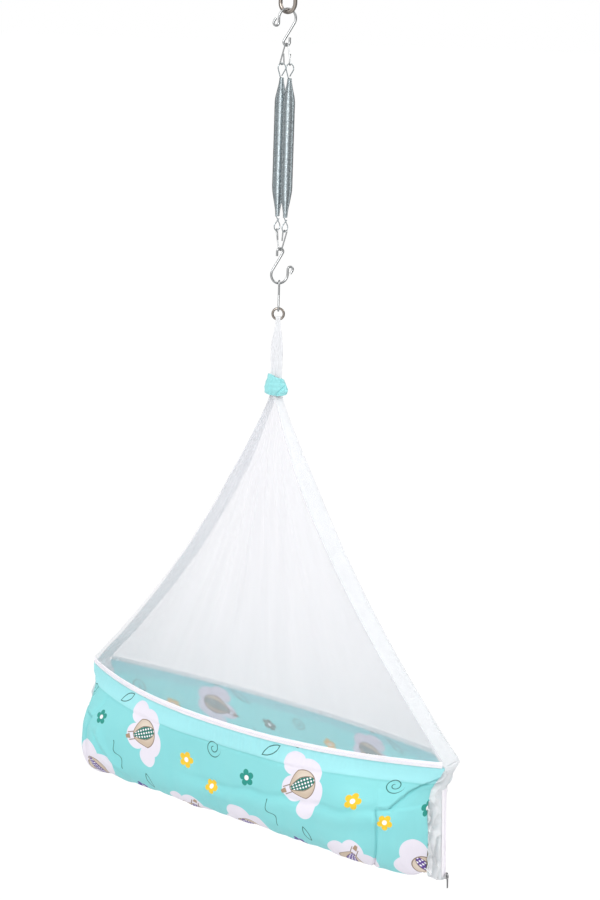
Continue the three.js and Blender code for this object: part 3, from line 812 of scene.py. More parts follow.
def teeth_look():
    look = Look("Zip teeth", roughness=0.45)
    shade = look.noise(look.object_map(), scale=400, detail=2)
    look.set("Base Color", look.blend(shade, tint("#FAF6FC"), tint("#E6E0EC")))
    return look.relief(shade, TEETH_RELIEF).material


def board_look():
    look = Look("Board", roughness=0.75)
    grain = look.noise(look.object_map(), scale=40, detail=6, stretch=(0.06, 1, 1))
    look.set("Base Color", look.blend(grain, tint("#C9A877"), tint("#9C7A4E")))
    return look.relief(grain, GRAIN_RELIEF).material


WHITE = thin_white()
COLLAR = woven("Turquoise cotton", "#9AE1E4", relief=COLLAR_RELIEF).material
TICKING = woven("Mattress ticking", "#F3F1EC", pitch=TICKING_PITCH).material
PRINT = print_cotton("Printed cotton")
FRONT_PRINT = print_cotton("Printed cotton of the front", HEM_DEPTH)
# The rear wall's cotton, its ground painted lighter: painted light for its shaded inner face
REAR_PRINT_PAINTED_LIGHTER = print_cotton("Printed cotton of the rear, painted lighter", REAR_HEM_DEPTH, REAR_GROUNDS_PAINTED_LIGHTER, REAR_GLOW)
NET = net_mesh()
TAPE = zip_tape_look()
TEETH = teeth_look()
BOARD = board_look()
LINK_STEEL = metal("Link steel", "#B5ACA4", roughness=0.25)
WIRE_STEEL = metal("Wire steel", "#D0D2D3", roughness=0.3)
SPRING_STEEL = metal("Spring steel", "#C6D0D4", COIL_ROUGHNESS, COIL_WEAR_SHARE, COIL_SCRATCH_DEPTH)
SLIDER_STEEL = metal("Slider steel", "#D2D1D3", roughness=0.3)


def finish(piece, look, slot, body, *nodes):
    """Gives a piece its look, hangs it on its body and lets it stand for its solids."""
    piece.data.materials.clear()
    piece.data.materials.append(look)
    if nodes:
        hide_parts(*nodes)
    if body:
        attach(piece, body)
    return piece


# Chain

WIRE_SIDES = 16
BEND_STEP = 7
SHARP_EDGE = 40
DRAWN_SHARP_EDGE = 50


def arc_point(centre, radius, degrees):
    """A point of a circle in the X-Z plane."""
    turn = math.radians(degrees)
    return Vector((centre[0] + radius * math.cos(turn), 0, centre[1] + radius * math.sin(turn)))


def bent_wire(name, start, diameter, moves):
    """A wire drawn out from its lower end by straight runs and bends in the X-Z plane."""
    circle = bpy.ops.mesh.primitive_circle_add
    piece = made(name, circle, vertices=WIRE_SIDES, radius=diameter / 2, location=start)
    with editing():
        for kind, *move in moves:
            if kind == "run":
                bpy.ops.mesh.extrude_region_move(TRANSFORM_OT_translate={"value": move[0]})
            else:
                centre, first, last = move
                bpy.ops.mesh.spin(
                    steps=max(2, round(abs(last - first) / BEND_STEP)),
                    angle=math.radians(last - first),
                    center=(centre[0], 0, centre[1]),
                    axis=(0, 1, 0),
                )
        bpy.ops.mesh.select_all(action="SELECT")
        bpy.ops.mesh.fill_holes(sides=0)
        bpy.ops.mesh.normals_make_consistent(inside=False)
    bpy.ops.object.shade_smooth_by_angle(angle=math.radians(SHARP_EDGE))
    return piece


def set_down(piece, yaw, z, x=0.0, y=0.0, flip=False):
    """Turns a piece about the vertical, head down first if asked, and puts it in place."""
    turn = Matrix.Rotation(math.radians(yaw), 4, "Z")
    if flip:
        turn = turn @ Matrix.Rotation(math.pi, 4, "Y")
    piece.data.transform(Matrix.Translation((x, y, z)) @ turn)


def drawn_wire(name, points, diameter, resolution=4):
    """A wire along a line of points, for lines that leave one plane."""
    line = bpy.data.curves.new(name, "CURVE")
    line.dimensions = "3D"
    line.bevel_depth = diameter / 2
    line.bevel_resolution = resolution
    line.use_fill_caps = True
    spline = line.splines.new("POLY")
    spline.points.add(len(points) - 1)
    spline.points.foreach_set("co", np.c_[np.array(points), np.ones(len(points))].ravel())
    brought_in(name, line)
    bpy.ops.object.convert(target="MESH")
    piece = bpy.context.object
    piece.name = piece.data.name = name
    bpy.ops.object.shade_smooth_by_angle(angle=math.radians(DRAWN_SHARP_EDGE))
    return piece


def through(points, steps):
    """A smooth line through the points."""
    points = np.array(points, float)
    ends = np.concatenate([[2 * points[0] - points[1]], points, [2 * points[-1] - points[-2]]])
    line = []
    for i in range(len(points) - 1):
        a, b, c, d = ends[i:i + 4]
        for t in np.arange(steps) / steps:
            line.append(0.5 * (2 * b + (c - a) * t + (2 * a - 5 * b + 4 * c - d) * t ** 2
                               + (3 * b - a - 3 * c + d) * t ** 3))
    return [*line, points[-1]]


LINK_WIRE = 7.5 * MM
LINK_WIDTH = 42 * MM
LINK_INNER_LENGTH = 50 * MM
LINK_STEPS = 56
LINK_SIDES = 20
HOOK_WIRE = 4.4 * MM
BOW_RADIUS = 17 * MM
LOOP_RADIUS = 6.2 * MM
HOOK_SPAN = 43.5 * MM
LOOP_LEG = 8.5 * MM
CURL_STEM = 8.8 * MM
CURL_RADIUS = 5.2 * MM
CURL_RETURN = 6.5 * MM
CURL_END = -35
S_LINK_WIRE = 3.8 * MM
S_LINK_BEND = 6.5 * MM
S_LINK_HEIGHT = 57 * MM
S_LINK_UPPER_LEG = 17 * MM
S_LINK_LOWER_LEG = 20 * MM
RING_WIRE = 4.6 * MM
RING_DIAMETER = 26 * MM
RING_RADIUS = (RING_DIAMETER - RING_WIRE) / 2
RING_STEPS = 64
WELD_SHARE = 0.1
WELD_PLACE = 25
WELD_WIDTH = 5


def torus(name, radius, wire, steps, sides, turn=0.0):
    """An upright ring of round wire."""
    ring = bpy.ops.mesh.primitive_torus_add
    return made(name, ring, major_segments=steps, minor_segments=sides, major_radius=radius,
                minor_radius=wire / 2, rotation=(math.pi / 2, turn, 0))


def ceiling_link():
    """An oval steel link: a ring pulled apart into straight sides."""
    crown = (LINK_WIDTH - LINK_WIRE) / 2
    middle = -LINK_INNER_LENGTH / 2
    link = torus("ceiling_link_fine", crown, LINK_WIRE, LINK_STEPS, LINK_SIDES, math.pi / LINK_STEPS)
    pull = (LINK_INNER_LENGTH + LINK_WIRE) / 2 - crown
    for point in link.data.vertices:
        point.co.z += middle + math.copysign(pull, point.co.z)
    bpy.ops.object.shade_smooth()
    finish(link, LINK_STEEL, "link_steel", "ceiling", "ceiling_link")


def s_moves(bow, loop, span, leg):
    """An S: up a leg, over a narrow loop, down its diagonal and under a wide bow."""
    lean = math.degrees(math.asin((bow + loop) / span))
    slope = arc_point((0, 0), bow, 180 - lean) - arc_point((0, span), loop, -lean)
    return [
        ("run", (0, 0, leg)),
        ("bend", (0, span), 180, -lean),
        ("run", slope),
        ("bend", (0, 0), 180 - lean, 360),
    ]


def s_hooks():
    """The two S-hooks, one the other way up, each with the tip of its bow curled back."""
    curl = (BOW_RADIUS + CURL_RADIUS, CURL_STEM)
    tip = arc_point((0, 0), CURL_RETURN, CURL_END - 90)
    moves = [
        *s_moves(BOW_RADIUS, LOOP_RADIUS, HOOK_SPAN, LOOP_LEG),
        ("run", (0, 0, CURL_STEM)),
        ("bend", curl, 180, CURL_END),
        ("run", tip),
    ]
    start = (-LOOP_RADIUS, 0, HOOK_SPAN - LOOP_LEG)
    reach = BOW_RADIUS + HOOK_WIRE / 2
    for node, body, flip, z in (
        ("upper_s_hook", "upper_hook", True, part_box("upper_s_hook")[1].z - reach),
        ("lower_s_hook", "lower_hook", False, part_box("lower_s_hook")[0].z + reach),
    ):
        hook = bent_wire(node + "_fine", start, HOOK_WIRE, moves)
        set_down(hook, HOOK_YAW, z, flip=flip)
        finish(hook, WIRE_STEEL, "hook_steel", body, node)


def small_s_link():
    """The thin S between the lower hook and the ring, with legs that lie along its diagonal."""
    span = S_LINK_HEIGHT - 2 * S_LINK_BEND
    moves = s_moves(S_LINK_BEND, S_LINK_BEND, span, S_LINK_UPPER_LEG)
    moves.append(("run", (0, 0, S_LINK_LOWER_LEG)))
    start = (-S_LINK_BEND, 0, span - S_LINK_UPPER_LEG)
    link = bent_wire("small_s_link_fine", start, S_LINK_WIRE, moves)
    set_down(link, S_LINK_YAW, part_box("small_s_link")[0].z + S_LINK_WIRE / 2 + S_LINK_BEND)
    finish(link, WIRE_STEEL, "hook_steel", "s_link", "small_s_link")


def strap_ring():
    """A round ring with the low swelling of its weld."""
    ring = torus("strap_ring_fine", RING_RADIUS, RING_WIRE, RING_STEPS, WIRE_SIDES)
    for point in ring.data.vertices:
        turn = math.degrees(math.atan2(point.co.z, point.co.x))
        core = Vector((point.co.x, 0, point.co.z)).normalized() * RING_RADIUS
        weld = 1 + WELD_SHARE * math.exp(-((turn - WELD_PLACE) / WELD_WIDTH) ** 2)
        point.co = core + (point.co - core) * weld
    low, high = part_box("strap_ring")
    set_down(ring, RING_YAW, (low.z + high.z) / 2)
    bpy.ops.object.shade_smooth()
    finish(ring, LINK_STEEL, "link_steel", "ring", "strap_ring")


# Yokes and springs
YOKE_WIRE = 2.6 * MM
YOKE_HEIGHT = 39 * MM
YOKE_APEX_RADIUS = 6 * MM
YOKE_APEX_POINTS = 4
TURN_RADIUS = 4.2 * MM
TURN_TWIST = 20
TURN_POINTS = 9
FOLD_LENGTH = 16 * MM
FOLD_SPLAY = 1.4 * MM
SPRING_WIRE = 2.05 * MM
CAD_SPRING_WIRE = 2.2 * MM
SPRING_DIAMETER = 24 * MM
SPRING_SPACING = 26.5 * MM
COIL_LENGTH = 258 * MM
TOP_TAPER = 46 * MM
BOTTOM_TAPER = 58 * MM
TIP_RADIUS = 3.4 * MM
EYE_HEIGHT = 27 * MM
EYE_RADIUS = 8.2 * MM
EYE_POINTS = 13
EYE_CROSSING = 1.6 * MM
EYE_TAIL = 4 * MM
COIL_TURNS = 122
COIL_STEPS = 24
CURVE_STEPS = 4


def yoke_half(side):
    """Half of a yoke, from its apex at the origin down to its folded end."""
    lean = math.degrees(math.atan2(SPRING_SPACING / 2 + TURN_RADIUS, YOKE_HEIGHT))
    twist = math.radians(TURN_TWIST)
    crown = np.linspace(90, lean, YOKE_APEX_POINTS)
    apex = [arc_point((0, -YOKE_APEX_RADIUS), YOKE_APEX_RADIUS, a) for a in crown]
    low = (0, TURN_RADIUS - YOKE_HEIGHT)
    turn = [arc_point(low, TURN_RADIUS, a) for a in np.linspace(0, -180, TURN_POINTS)]
    turn.append(Vector((-TURN_RADIUS, 0, low[1] + FOLD_LENGTH)))
    bend = [(side * (SPRING_SPACING / 2 + p.x * math.cos(twist)), -p.x * math.sin(twist), p.z)
            for p in turn]
    x, y, z = bend[-1]
    bend[-1] = (x, y + side * FOLD_SPLAY, z)
    return [(side * p.x, 0, p.z) for p in apex] + bend


def yokes():
    """Bent wires that carry the springs' eyes, the lower one upside down."""
    line = [*reversed(yoke_half(-1)), *yoke_half(1)[1:]]
    low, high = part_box("lower_yoke")[0].z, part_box("upper_yoke")[1].z
    for node, body, up, apex in (
        ("upper_yoke", "spring_pair", 1, high - YOKE_WIRE / 2),
        ("lower_yoke", "spring_foot", -1, low + YOKE_WIRE / 2),
    ):
        points = [(x, up * y, up * z) for x, y, z in through(line, CURVE_STEPS)]
        yoke = drawn_wire(node + "_fine", points, YOKE_WIRE)
        set_down(yoke, YOKE_YAW, apex)
        finish(yoke, WIRE_STEEL, "hook_steel", body, node)


def coil_radius(height):
    """The coil's radius, drawn in to a tip at both ends."""
    full = (SPRING_DIAMETER - CAD_SPRING_WIRE) / 2
    low = smooth(inside(height / BOTTOM_TAPER))
    high = smooth(inside((COIL_LENGTH - height) / TOP_TAPER))
    return mix(TIP_RADIUS, full, min(low, high))


def eye_line():
    """The teardrop eye over a tip, from the coil's end round to the crossed wire end."""
    centre = EYE_HEIGHT - EYE_RADIUS
    opening = math.degrees(math.acos(EYE_RADIUS / (centre - EYE_CROSSING)))
    round_eye = np.linspace(270 - opening, opening - 90, EYE_POINTS)
    loop = [arc_point((0, centre), EYE_RADIUS, a) for a in round_eye]
    for i, point in enumerate(loop):
        point.y = mix(EYE_CROSSING, -EYE_CROSSING, i / (len(loop) - 1))
    loop.append(Vector((-EYE_TAIL / 2, -EYE_CROSSING - CAD_SPRING_WIRE / 2, EYE_TAIL)))
    return [np.array(p) for p in loop]


def spring_line():
    """The centre line of a close-wound spring, from one eye to the other."""
    coil = []
    for i in range(COIL_TURNS * COIL_STEPS + 1):
        height = COIL_LENGTH * i / (COIL_TURNS * COIL_STEPS)
        turn = math.pi / 2 + 2 * math.pi * i / COIL_STEPS
        radius = coil_radius(height)
        coil.append(np.array([radius * math.cos(turn), radius * math.sin(turn), height]))
    upper = through([coil[-1], *[p + (0, 0, COIL_LENGTH) for p in eye_line()]], CURVE_STEPS)
    flipped = [np.array([-p[0], p[1], -p[2]]) for p in eye_line()]
    lower = through([*reversed(flipped), coil[0]], CURVE_STEPS)
    return [*lower[:-1], *coil, *upper[1:]]


def springs():
    """Two springs side by side, each running from the lower yoke up to the upper one."""
    line = spring_line()
    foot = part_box("spring_left")[0].z + CAD_SPRING_WIRE / 2 + EYE_HEIGHT
    for node, side in (("spring_left", -1), ("spring_right", 1)):
        spring = drawn_wire(node + "_fine", line, SPRING_WIRE, resolution=2)
        set_down(spring, EYE_YAW, foot, *turned(side * SPRING_SPACING / 2, 0, YOKE_YAW))
        finish(spring, SPRING_STEEL, "spring_zinc", None, node)
        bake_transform(spring)


# Strap
STRAP_THICKNESS = 1.8 * MM
STRAP_CLEARANCE = 0.7 * MM
STRAP_TOP_WIDTH = 9 * MM
STRAP_WIDTH = 22 * MM
STRAP_SPREAD = 4 * MM
STRAP_FOLD_SHARE = 0.3
STRAP_SPREAD_SHARE = 0.33
STRAP_WIDEN_SHARE = 0.4
STRAP_INSET = 0.4 * MM
STRAP_FACES = (36, 150)
BUNCH_START = 12 * MM
BUNCH_FADE = 30 * MM
BUNCH_PITCH = 6.5 * MM
BUNCH_HEIGHT = 0.55 * MM
BUNCH_SWAY = 1.2
BUNCH_SWAY_RATE = 90


def strap_loop():
    """The strap folded over the ring and bunched lengthwise down to the collar."""
    low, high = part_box("strap_loop")
    bend = RING_WIRE / 2 + STRAP_CLEARANCE
    thick = bend + STRAP_THICKNESS
    leg = high.z - thick - low.z

    def place(u, v):
        side = np.where(v < 0.5, 1, -1)
        down = np.abs(2 * v - 1)
        turn = inside(down / STRAP_FOLD_SHARE) * math.pi / 2
        run = inside((down - STRAP_FOLD_SHARE) / (1 - STRAP_FOLD_SHARE))
        spread = mix(bend, STRAP_SPREAD, smooth(inside(run / STRAP_SPREAD_SHARE))) + STRAP_THICKNESS
        y = side * np.where(run > 0, spread, thick * np.sin(turn))
        z = thick * (np.cos(turn) - 1) - run * leg
        widened = smooth(inside(run / STRAP_WIDEN_SHARE))
        x = (u - 0.5) * mix(STRAP_TOP_WIDTH, STRAP_WIDTH, widened)
        reach = np.minimum(np.abs(x), STRAP_TOP_WIDTH / 2)
        z = z + (RING_RADIUS - np.sqrt(RING_RADIUS ** 2 - reach ** 2)) * (1 - widened)
        return *turned(x, y, RING_YAW), high.z + z

    def relief(surface, across, down):
        away = inside((high.z - surface[..., 2] - BUNCH_START) / BUNCH_FADE)
        sway = BUNCH_SWAY * np.sin(down * BUNCH_SWAY_RATE)
        bunch = np.sin(2 * math.pi * across / BUNCH_PITCH + sway)
        return away * (BUNCH_HEIGHT * bunch - STRAP_INSET)

    strap = laid_cloth("strap_loop_cloth", place, STRAP_FACES, STRAP_THICKNESS, relief)
    finish(strap, WHITE, "white_cloth", "cradle_body", "strap_loop")


# Collar, with angles round the neck in degrees
COLLAR_WIDTH = 47 * MM
COLLAR_DEPTH = 36 * MM
COLLAR_WALL = 3 * MM
COLLAR_TOP_SHARE = 0.70
COLLAR_FOOT_SHARE = 0.97
COLLAR_FLARE_SPEED = 1.3
COLLAR_LOBE_SHARE = 0.02
COLLAR_LOBES = 3
COLLAR_TOP_SWAY = 6 * MM
COLLAR_TOP_HIGHEST = 190
COLLAR_FOOT_SWAY = 4 * MM
COLLAR_FOOT_LOWEST = 290
COLLAR_INSET = 0.4 * MM
COLLAR_FACES = (200, 48)
WINDING_PITCH = 12 * MM
WINDING_HEIGHT = 0.4 * MM
WINDING_SLOPE = 0.3
WINDING_SWAY = 2
WINDING_SWAY_RATE = 60
COLLAR_EDGE_WIDTH = 2 * MM
COLLAR_EDGE_DEPTH = 0.6 * MM
TUCK_DEPTH = 2.6 * MM
TUCK_SLOPE = 0.5
TUCK_WIDTH = 2.4 * MM
TUCK_FADE = 16 * MM
TUCK_REACH_SHARE = 1.6
# Side tucks: share of the depth, slope, place and width
SIDE_TUCKS = ((1, -0.75, 26 * MM, 2.2 * MM), (0.5, 0.25, -18 * MM, 2 * MM))


def neck_collar():
    """A turquoise strip wound round the neck and tucked into itself in a slanting fold."""
    low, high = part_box("neck_collar")
    facing = math.pi * (COLLAR_WIDTH + COLLAR_DEPTH) / 8

    def place(u, v):
        turn = 2 * math.pi * u
        flare = mix(COLLAR_TOP_SHARE, COLLAR_FOOT_SHARE, smooth(inside(v * COLLAR_FLARE_SPEED)))
        flare = flare + COLLAR_LOBE_SHARE * np.sin(COLLAR_LOBES * turn + 2 * v)
        x = COLLAR_WIDTH / 2 * flare * np.cos(turn)
        y = COLLAR_DEPTH / 2 * flare * np.sin(turn)
        top = high.z - COLLAR_TOP_SWAY * (1 - np.cos(turn - math.radians(COLLAR_TOP_HIGHEST)))
        foot = low.z + COLLAR_FOOT_SWAY * (1 - np.cos(turn - math.radians(COLLAR_FOOT_LOWEST)))
        return *turned(x, y, RING_YAW), mix(top, foot, v)

    def relief(surface, across, down):
        aside = across - facing
        tuck = hump(aside - TUCK_SLOPE * down, TUCK_WIDTH) * inside(TUCK_REACH_SHARE - down / TUCK_FADE)
        for share, slope, spot, width in SIDE_TUCKS:
            tuck = tuck + share * hump(aside - slope * down - spot, width)
        run = 2 * math.pi * (down + across * WINDING_SLOPE) / WINDING_PITCH
        winding = np.sin(run + WINDING_SWAY * np.sin(across * WINDING_SWAY_RATE))
        edge = hump(down, COLLAR_EDGE_WIDTH) + hump(down - down.max(axis=0), COLLAR_EDGE_WIDTH)
        return WINDING_HEIGHT * winding - TUCK_DEPTH * tuck - COLLAR_EDGE_DEPTH * edge - COLLAR_INSET

    collar = laid_cloth("neck_collar_wrap", place, COLLAR_FACES, COLLAR_WALL, relief)
    close_seam(collar)
    finish(collar, COLLAR, "collar_cloth", "cradle_body", "neck_collar")


MERGE_REACH = 0.05 * MM


def close_seam(piece):
    """Joins the two edges of a sheet that goes all the way round."""
    with editing():
        bpy.ops.mesh.remove_doubles(threshold=MERGE_REACH)
    return piece


# Tent

BAND_CLOTH = 1.6 * MM
BAND_FACES = (28, 360)
BAND_SEAM = 4 * MM
STITCH_WIDTH = 1 * MM
STITCH_DEPTH = 0.4 * MM
# Waves, here and below: how many, and their shortest and longest
BAND_WAVES = (7, 45 * MM, 140 * MM)
BAND_DRAG = 0.4 * MM
BAND_LOW_DRAG = 0.9 * MM
BAND_ACROSS_SHARE = 0.6
BAND_LOW_SPEED = 1.6
BAND_LOW_START = 0.4
BAND_CURL = 1.2 * MM
BAND_INSET = 0.6 * MM


def bands():
    """White bands down both edges of the tent, with a line of stitching along each side."""
    drop = TENT_HEIGHT - BAND_THICKNESS - GAP

    for node, side in (("band_left", -1), ("band_right", 1)):
        def place(u, v):
            x = side * band_x(v)
            return x, side * (2 * u - 1) * band_half_width(v), NECK_Z - drop * v

        def relief(surface, across, down):
            share = down / down.max()
            half = band_half_width(inside(share))
            stitching = hump(np.abs(across) - half + BAND_SEAM, STITCH_WIDTH)
            low = smooth(inside(share * BAND_LOW_SPEED - BAND_LOW_START))
            drag = ripples(across * BAND_ACROSS_SHARE, down, SEED + side, *BAND_WAVES)
            drag = (BAND_DRAG + BAND_LOW_DRAG * low) * drag
            return drag - STITCH_DEPTH * stitching - BAND_CURL * (across / half) ** 2 - BAND_INSET

        band = laid_cloth(node + "_cloth", place, BAND_FACES, BAND_CLOTH, relief)
        finish(band, WHITE, "white_cloth", "cradle_body", node)


NET_FACES = (260, 170)
NET_BROAD_SHARE = 0.6
# Finer folds: share of a fold, radians from the middle to an end, phase and drift on the way down
NET_FINE_FOLDS = ((0.25, 19, 1.3, 0), (0.15, 37, 0, 3))


def nets():
    """The two nets, falling from the neck in soft folds that open towards the rims."""
    for node, side in (("net_front", -1), ("net_rear", 1)):
        strip = RIM_Z + TAPE_HEIGHT if side < 0 else RIM_Z - REAR_RIM_DIP + BINDING_HEIGHT
        foot = strip + GAP + NET_THICKNESS

        def place(u, v):
            along = -side * np.sin((u - 0.5) * math.pi)
            x = along * (band_x(v) - BAND_THICKNESS)
            rim = body_depth(side, x / np.maximum(tent_out(v), 1e-3), 0 * x) - END_HALF
            calm = (1 - along ** 2) * 4 * v * (1 - v)
            fold = NET_BROAD_SHARE * np.sin(NET_FOLDS * math.pi * along)
            for share, rate, phase, drift in NET_FINE_FOLDS:
                fold = fold + share * np.sin(rate * along + phase + drift * v)
            depth = band_half_width(v) + GAP + NET_THICKNESS + rim * tent_out(v)
            return x, side * (depth + NET_FOLD * fold * calm), mix(NECK_Z, foot, v)

        net = laid_cloth(node + "_mesh", place, NET_FACES, 0)
        finish(net, NET, "net", "cradle_body", node)


# Trough

CLOTH = 1.6 * MM
WALL_FACES = (400, 116)
WALL_INSET = 1.5 * MM

# Slack of the left end's front edge
LEFT_SLACK = 13 * MM
LEFT_SLACK_FALL = 50 * MM
LEFT_SLACK_REACH = 27 * MM
ZIP_CLEAR = 13 * MM
ZIP_CLEAR_FADE = 18 * MM


def left_slack(y, z):
    """How much further out the left end's front edge hangs under its rim than its solid does."""
    beside_zip = smooth(inside((-y - ZIP_CLEAR) / ZIP_CLEAR_FADE))
    return LEFT_SLACK * hump(RIM_Z - z - LEFT_SLACK_FALL, LEFT_SLACK_REACH) * beside_zip


# Pockets at the ends of the front wall
POCKET_FALL = 72 * MM
POCKET_WIDTH = 105 * MM
POCKET_TOP_FADE = 4 * MM
POCKET_SIDE_FADE = 12 * MM
POCKET_END_FADE = 20 * MM
POCKET_PUFF = 3 * MM
POCKET_SEAM_DEPTH = 5 * MM
POCKET_SEAM_WIDTH = 1.8 * MM
FOLD_RUN = 80 * MM
FOLD_TOP_FALL = 19 * MM
FOLD_OVERHANG = 2 * MM
FOLD_END_FADE = 6 * MM
FLAP_HEIGHT = 4.2 * MM
FLAP_FADE = 22 * MM
FLAP_TUCK_DEPTH = 4.5 * MM
FLAP_TUCK_FADE = 4 * MM


def corner_folds(fall, from_end):
    """The end's pocket: a seam down the corner, and a flap folded over it towards the rim."""
    below = inside((fall - POCKET_FALL) / POCKET_TOP_FADE)
    seam = hump(from_end - POCKET_WIDTH, POCKET_SEAM_WIDTH) * below
    puff = below * inside((POCKET_WIDTH - from_end) / POCKET_SIDE_FADE)
    puff = puff * inside(from_end / POCKET_END_FADE)
    slope = (POCKET_FALL - FOLD_TOP_FALL) / FOLD_RUN
    line = np.minimum(POCKET_FALL, FOLD_TOP_FALL + from_end * slope)
    past = (fall - line) * math.cos(math.atan(slope))
    reach = inside((POCKET_WIDTH + FOLD_OVERHANG - from_end) / FOLD_END_FADE)
    flap = np.where(past < 0, FLAP_HEIGHT * np.exp(past / FLAP_FADE), 0)
    tuck = np.where(past >= 0, FLAP_TUCK_DEPTH * np.exp(-past / FLAP_TUCK_FADE), 0)
    return POCKET_PUFF * puff - POCKET_SEAM_DEPTH * seam + reach * (flap - tuck)


# Turned hem
HEM_STEP = 2.5 * MM
HEM_HEIGHT = 1.2 * MM
HEM_TOP_FADE = 8 * MM
HEM_STITCH_DEPTH = 1.8 * MM
HEM_STITCH_FALL = 2 * MM
HEM_STITCH_WIDTH = 2.4 * MM


def hem_relief(down, depth):
    """A turned hem: a doubled band that ends in a stitched step."""
    step = 1 - smooth(inside((down - depth) / HEM_STEP))
    stitching = hump(down - depth - HEM_STITCH_FALL, HEM_STITCH_WIDTH)
    return HEM_HEIGHT * step * inside(down / HEM_TOP_FADE) - HEM_STITCH_DEPTH * stitching


# Fold at the left: along the wall and down it, from its start to its end
LEFT_FOLD = ((-0.345, 0.090), (-0.262, 0.168))
LEFT_FOLD_BOW = 5 * MM
LEFT_FOLD_HEIGHT = 5 * MM
LEFT_FOLD_LIP = (10 * MM, 10 * MM)
LEFT_FOLD_TUCK = (-3 * MM, 6 * MM)
LEFT_FOLD_START_SHARE = 0.2
LEFT_FOLD_END_SHARE = 1.15
LEFT_FOLD_FADE_SHARE = 0.3


def slanting_fold(x, fall):
    """A fold pulled aslant over the wall's left end."""
    (x0, fall0), (x1, fall1) = LEFT_FOLD
    length = math.hypot(x1 - x0, fall1 - fall0)
    run = ((x - x0) * (x1 - x0) + (fall - fall0) * (fall1 - fall0)) / length ** 2
    off = ((x - x0) * (fall1 - fall0) - (fall - fall0) * (x1 - x0)) / length
    off = off + LEFT_FOLD_BOW * np.sin(run * math.pi)
    fade = smooth(inside(run / LEFT_FOLD_START_SHARE))
    fade = fade * smooth(inside((LEFT_FOLD_END_SHARE - run) / LEFT_FOLD_FADE_SHARE))
    return fade * puckered(off, LEFT_FOLD_HEIGHT, LEFT_FOLD_LIP, LEFT_FOLD_TUCK)


# Gathers under the zip
PLEAT_HEIGHT = 1.2 * MM
PLEAT_PLACE = 0.12
PLEAT_REACH = 0.13
PLEAT_ELSEWHERE_SHARE = 0.15
PLEAT_TOP_FADE = 5 * MM
PLEAT_END_SHARE = 1.25
PLEAT_FADE_SHARE = 1.2
# Pitch, sway in radians, and the sway's rate in radians to a metre
FINE_PLEATS = (11 * MM, 2.5, 37)
BROAD_PLEATS = (19 * MM, 2, 23)
PLEAT_BUNCHING_RATE = 61


def hem_pleats(across, down):
    """Small uneven gathers hanging from the zip, right of the middle."""
    def waves(pitch, sway, rate):
        return np.sin(2 * math.pi * across / pitch + sway * np.sin(across * rate))

    bunching = (1 + np.sin(across * PLEAT_BUNCHING_RATE)) / 2
    gathers = waves(*FINE_PLEATS) * bunching + waves(*BROAD_PLEATS)
    where = hump(across - PLEAT_PLACE, PLEAT_REACH) + PLEAT_ELSEWHERE_SHARE
    fade = smooth(inside(PLEAT_END_SHARE - down / (HEM_DEPTH * PLEAT_FADE_SHARE)))
    return PLEAT_HEIGHT * gathers * where * fade * inside(down / PLEAT_TOP_FADE)


# Front wall's long crease: along the wall and down it
CREASE_PLACES = ((0.0, 0.122), (0.08, 0.112), (0.18, 0.102), (0.3, 0.092), (0.34, 0.082), (0.37, 0.074))
CREASE_HEIGHT = 4.5 * MM
CREASE_LIP = (15 * MM, 16 * MM)
CREASE_TUCK = (-2 * MM, 7 * MM)
CREASE_SWAY = 2 * MM
CREASE_SWAY_RATE = 70
CREASE_START = -0.14
CREASE_START_FADE = 0.16
CREASE_END = 100 * MM
CREASE_END_FADE = 12 * MM
FRONT_DRAG = 1.3 * MM
FRONT_DRAG_WAVES = (7, 30 * MM, 90 * MM)
FRONT_DRAG_FALL = 50 * MM
FRONT_DRAG_FADE = 50 * MM
DRAG_DOWN_SHARE = 0.25
WALL_SWELL = 1.8 * MM
FRONT_SWELL_WAVES = (8, 80 * MM, 240 * MM)
FRONT_SWELL_FADE = 40 * MM
FRONT_RIM_FADE = 4 * MM
FRONT_RIM_SHARE = 0.15


def front_relief(surface, across, down):
    """Hem, gathers, long crease, drags and folds of the front."""
    x = surface[..., 0]
    fall = RIM_Z - surface[..., 2]
    half = np.abs(across[:, -1])[:, None]
    from_end = half - np.abs(across)
    hem = hem_relief(down, HEM_DEPTH) + hem_pleats(across, down)
    middle = smooth(inside((from_end - CREASE_END) / CREASE_END_FADE))
    middle = middle * smooth(inside((x - CREASE_START) / CREASE_START_FADE))
    line = fall - np.interp(x, *zip(*CREASE_PLACES)) - CREASE_SWAY * np.sin(across * CREASE_SWAY_RATE)
    crease = middle * puckered(line, CREASE_HEIGHT, CREASE_LIP, CREASE_TUCK)
    drags = FRONT_DRAG * ripples(across, down * DRAG_DOWN_SHARE, SEED, *FRONT_DRAG_WAVES)
    drags = drags * smooth(inside((fall - FRONT_DRAG_FALL) / FRONT_DRAG_FADE))
    swelling = WALL_SWELL * ripples(across, down, SEED + 1, *FRONT_SWELL_WAVES)
    swelling = swelling * inside(down / FRONT_SWELL_FADE)
    folds = corner_folds(fall, from_end) + slanting_fold(x, fall)
    at_rim = inside(down / FRONT_RIM_FADE + FRONT_RIM_SHARE)
    return (hem + crease + drags + swelling + folds - WALL_INSET) * at_rim


REAR_SWELL_WAVES = (9, 70 * MM, 240 * MM)
REAR_DRAG = 0.8 * MM
REAR_DRAG_WAVES = (6, 40 * MM, 120 * MM)
REAR_RIM_FADE = 6 * MM


def rear_relief(surface, across, down):
    """Hem and slack of the rear."""
    hem = hem_relief(down, REAR_HEM_DEPTH)
    swelling = WALL_SWELL * ripples(across, down, SEED + 2, *REAR_SWELL_WAVES)
    drags = REAR_DRAG * ripples(across, down * DRAG_DOWN_SHARE, SEED + 3, *REAR_DRAG_WAVES)
    return (hem + swelling + drags - WALL_INSET) * inside(down / REAR_RIM_FADE)


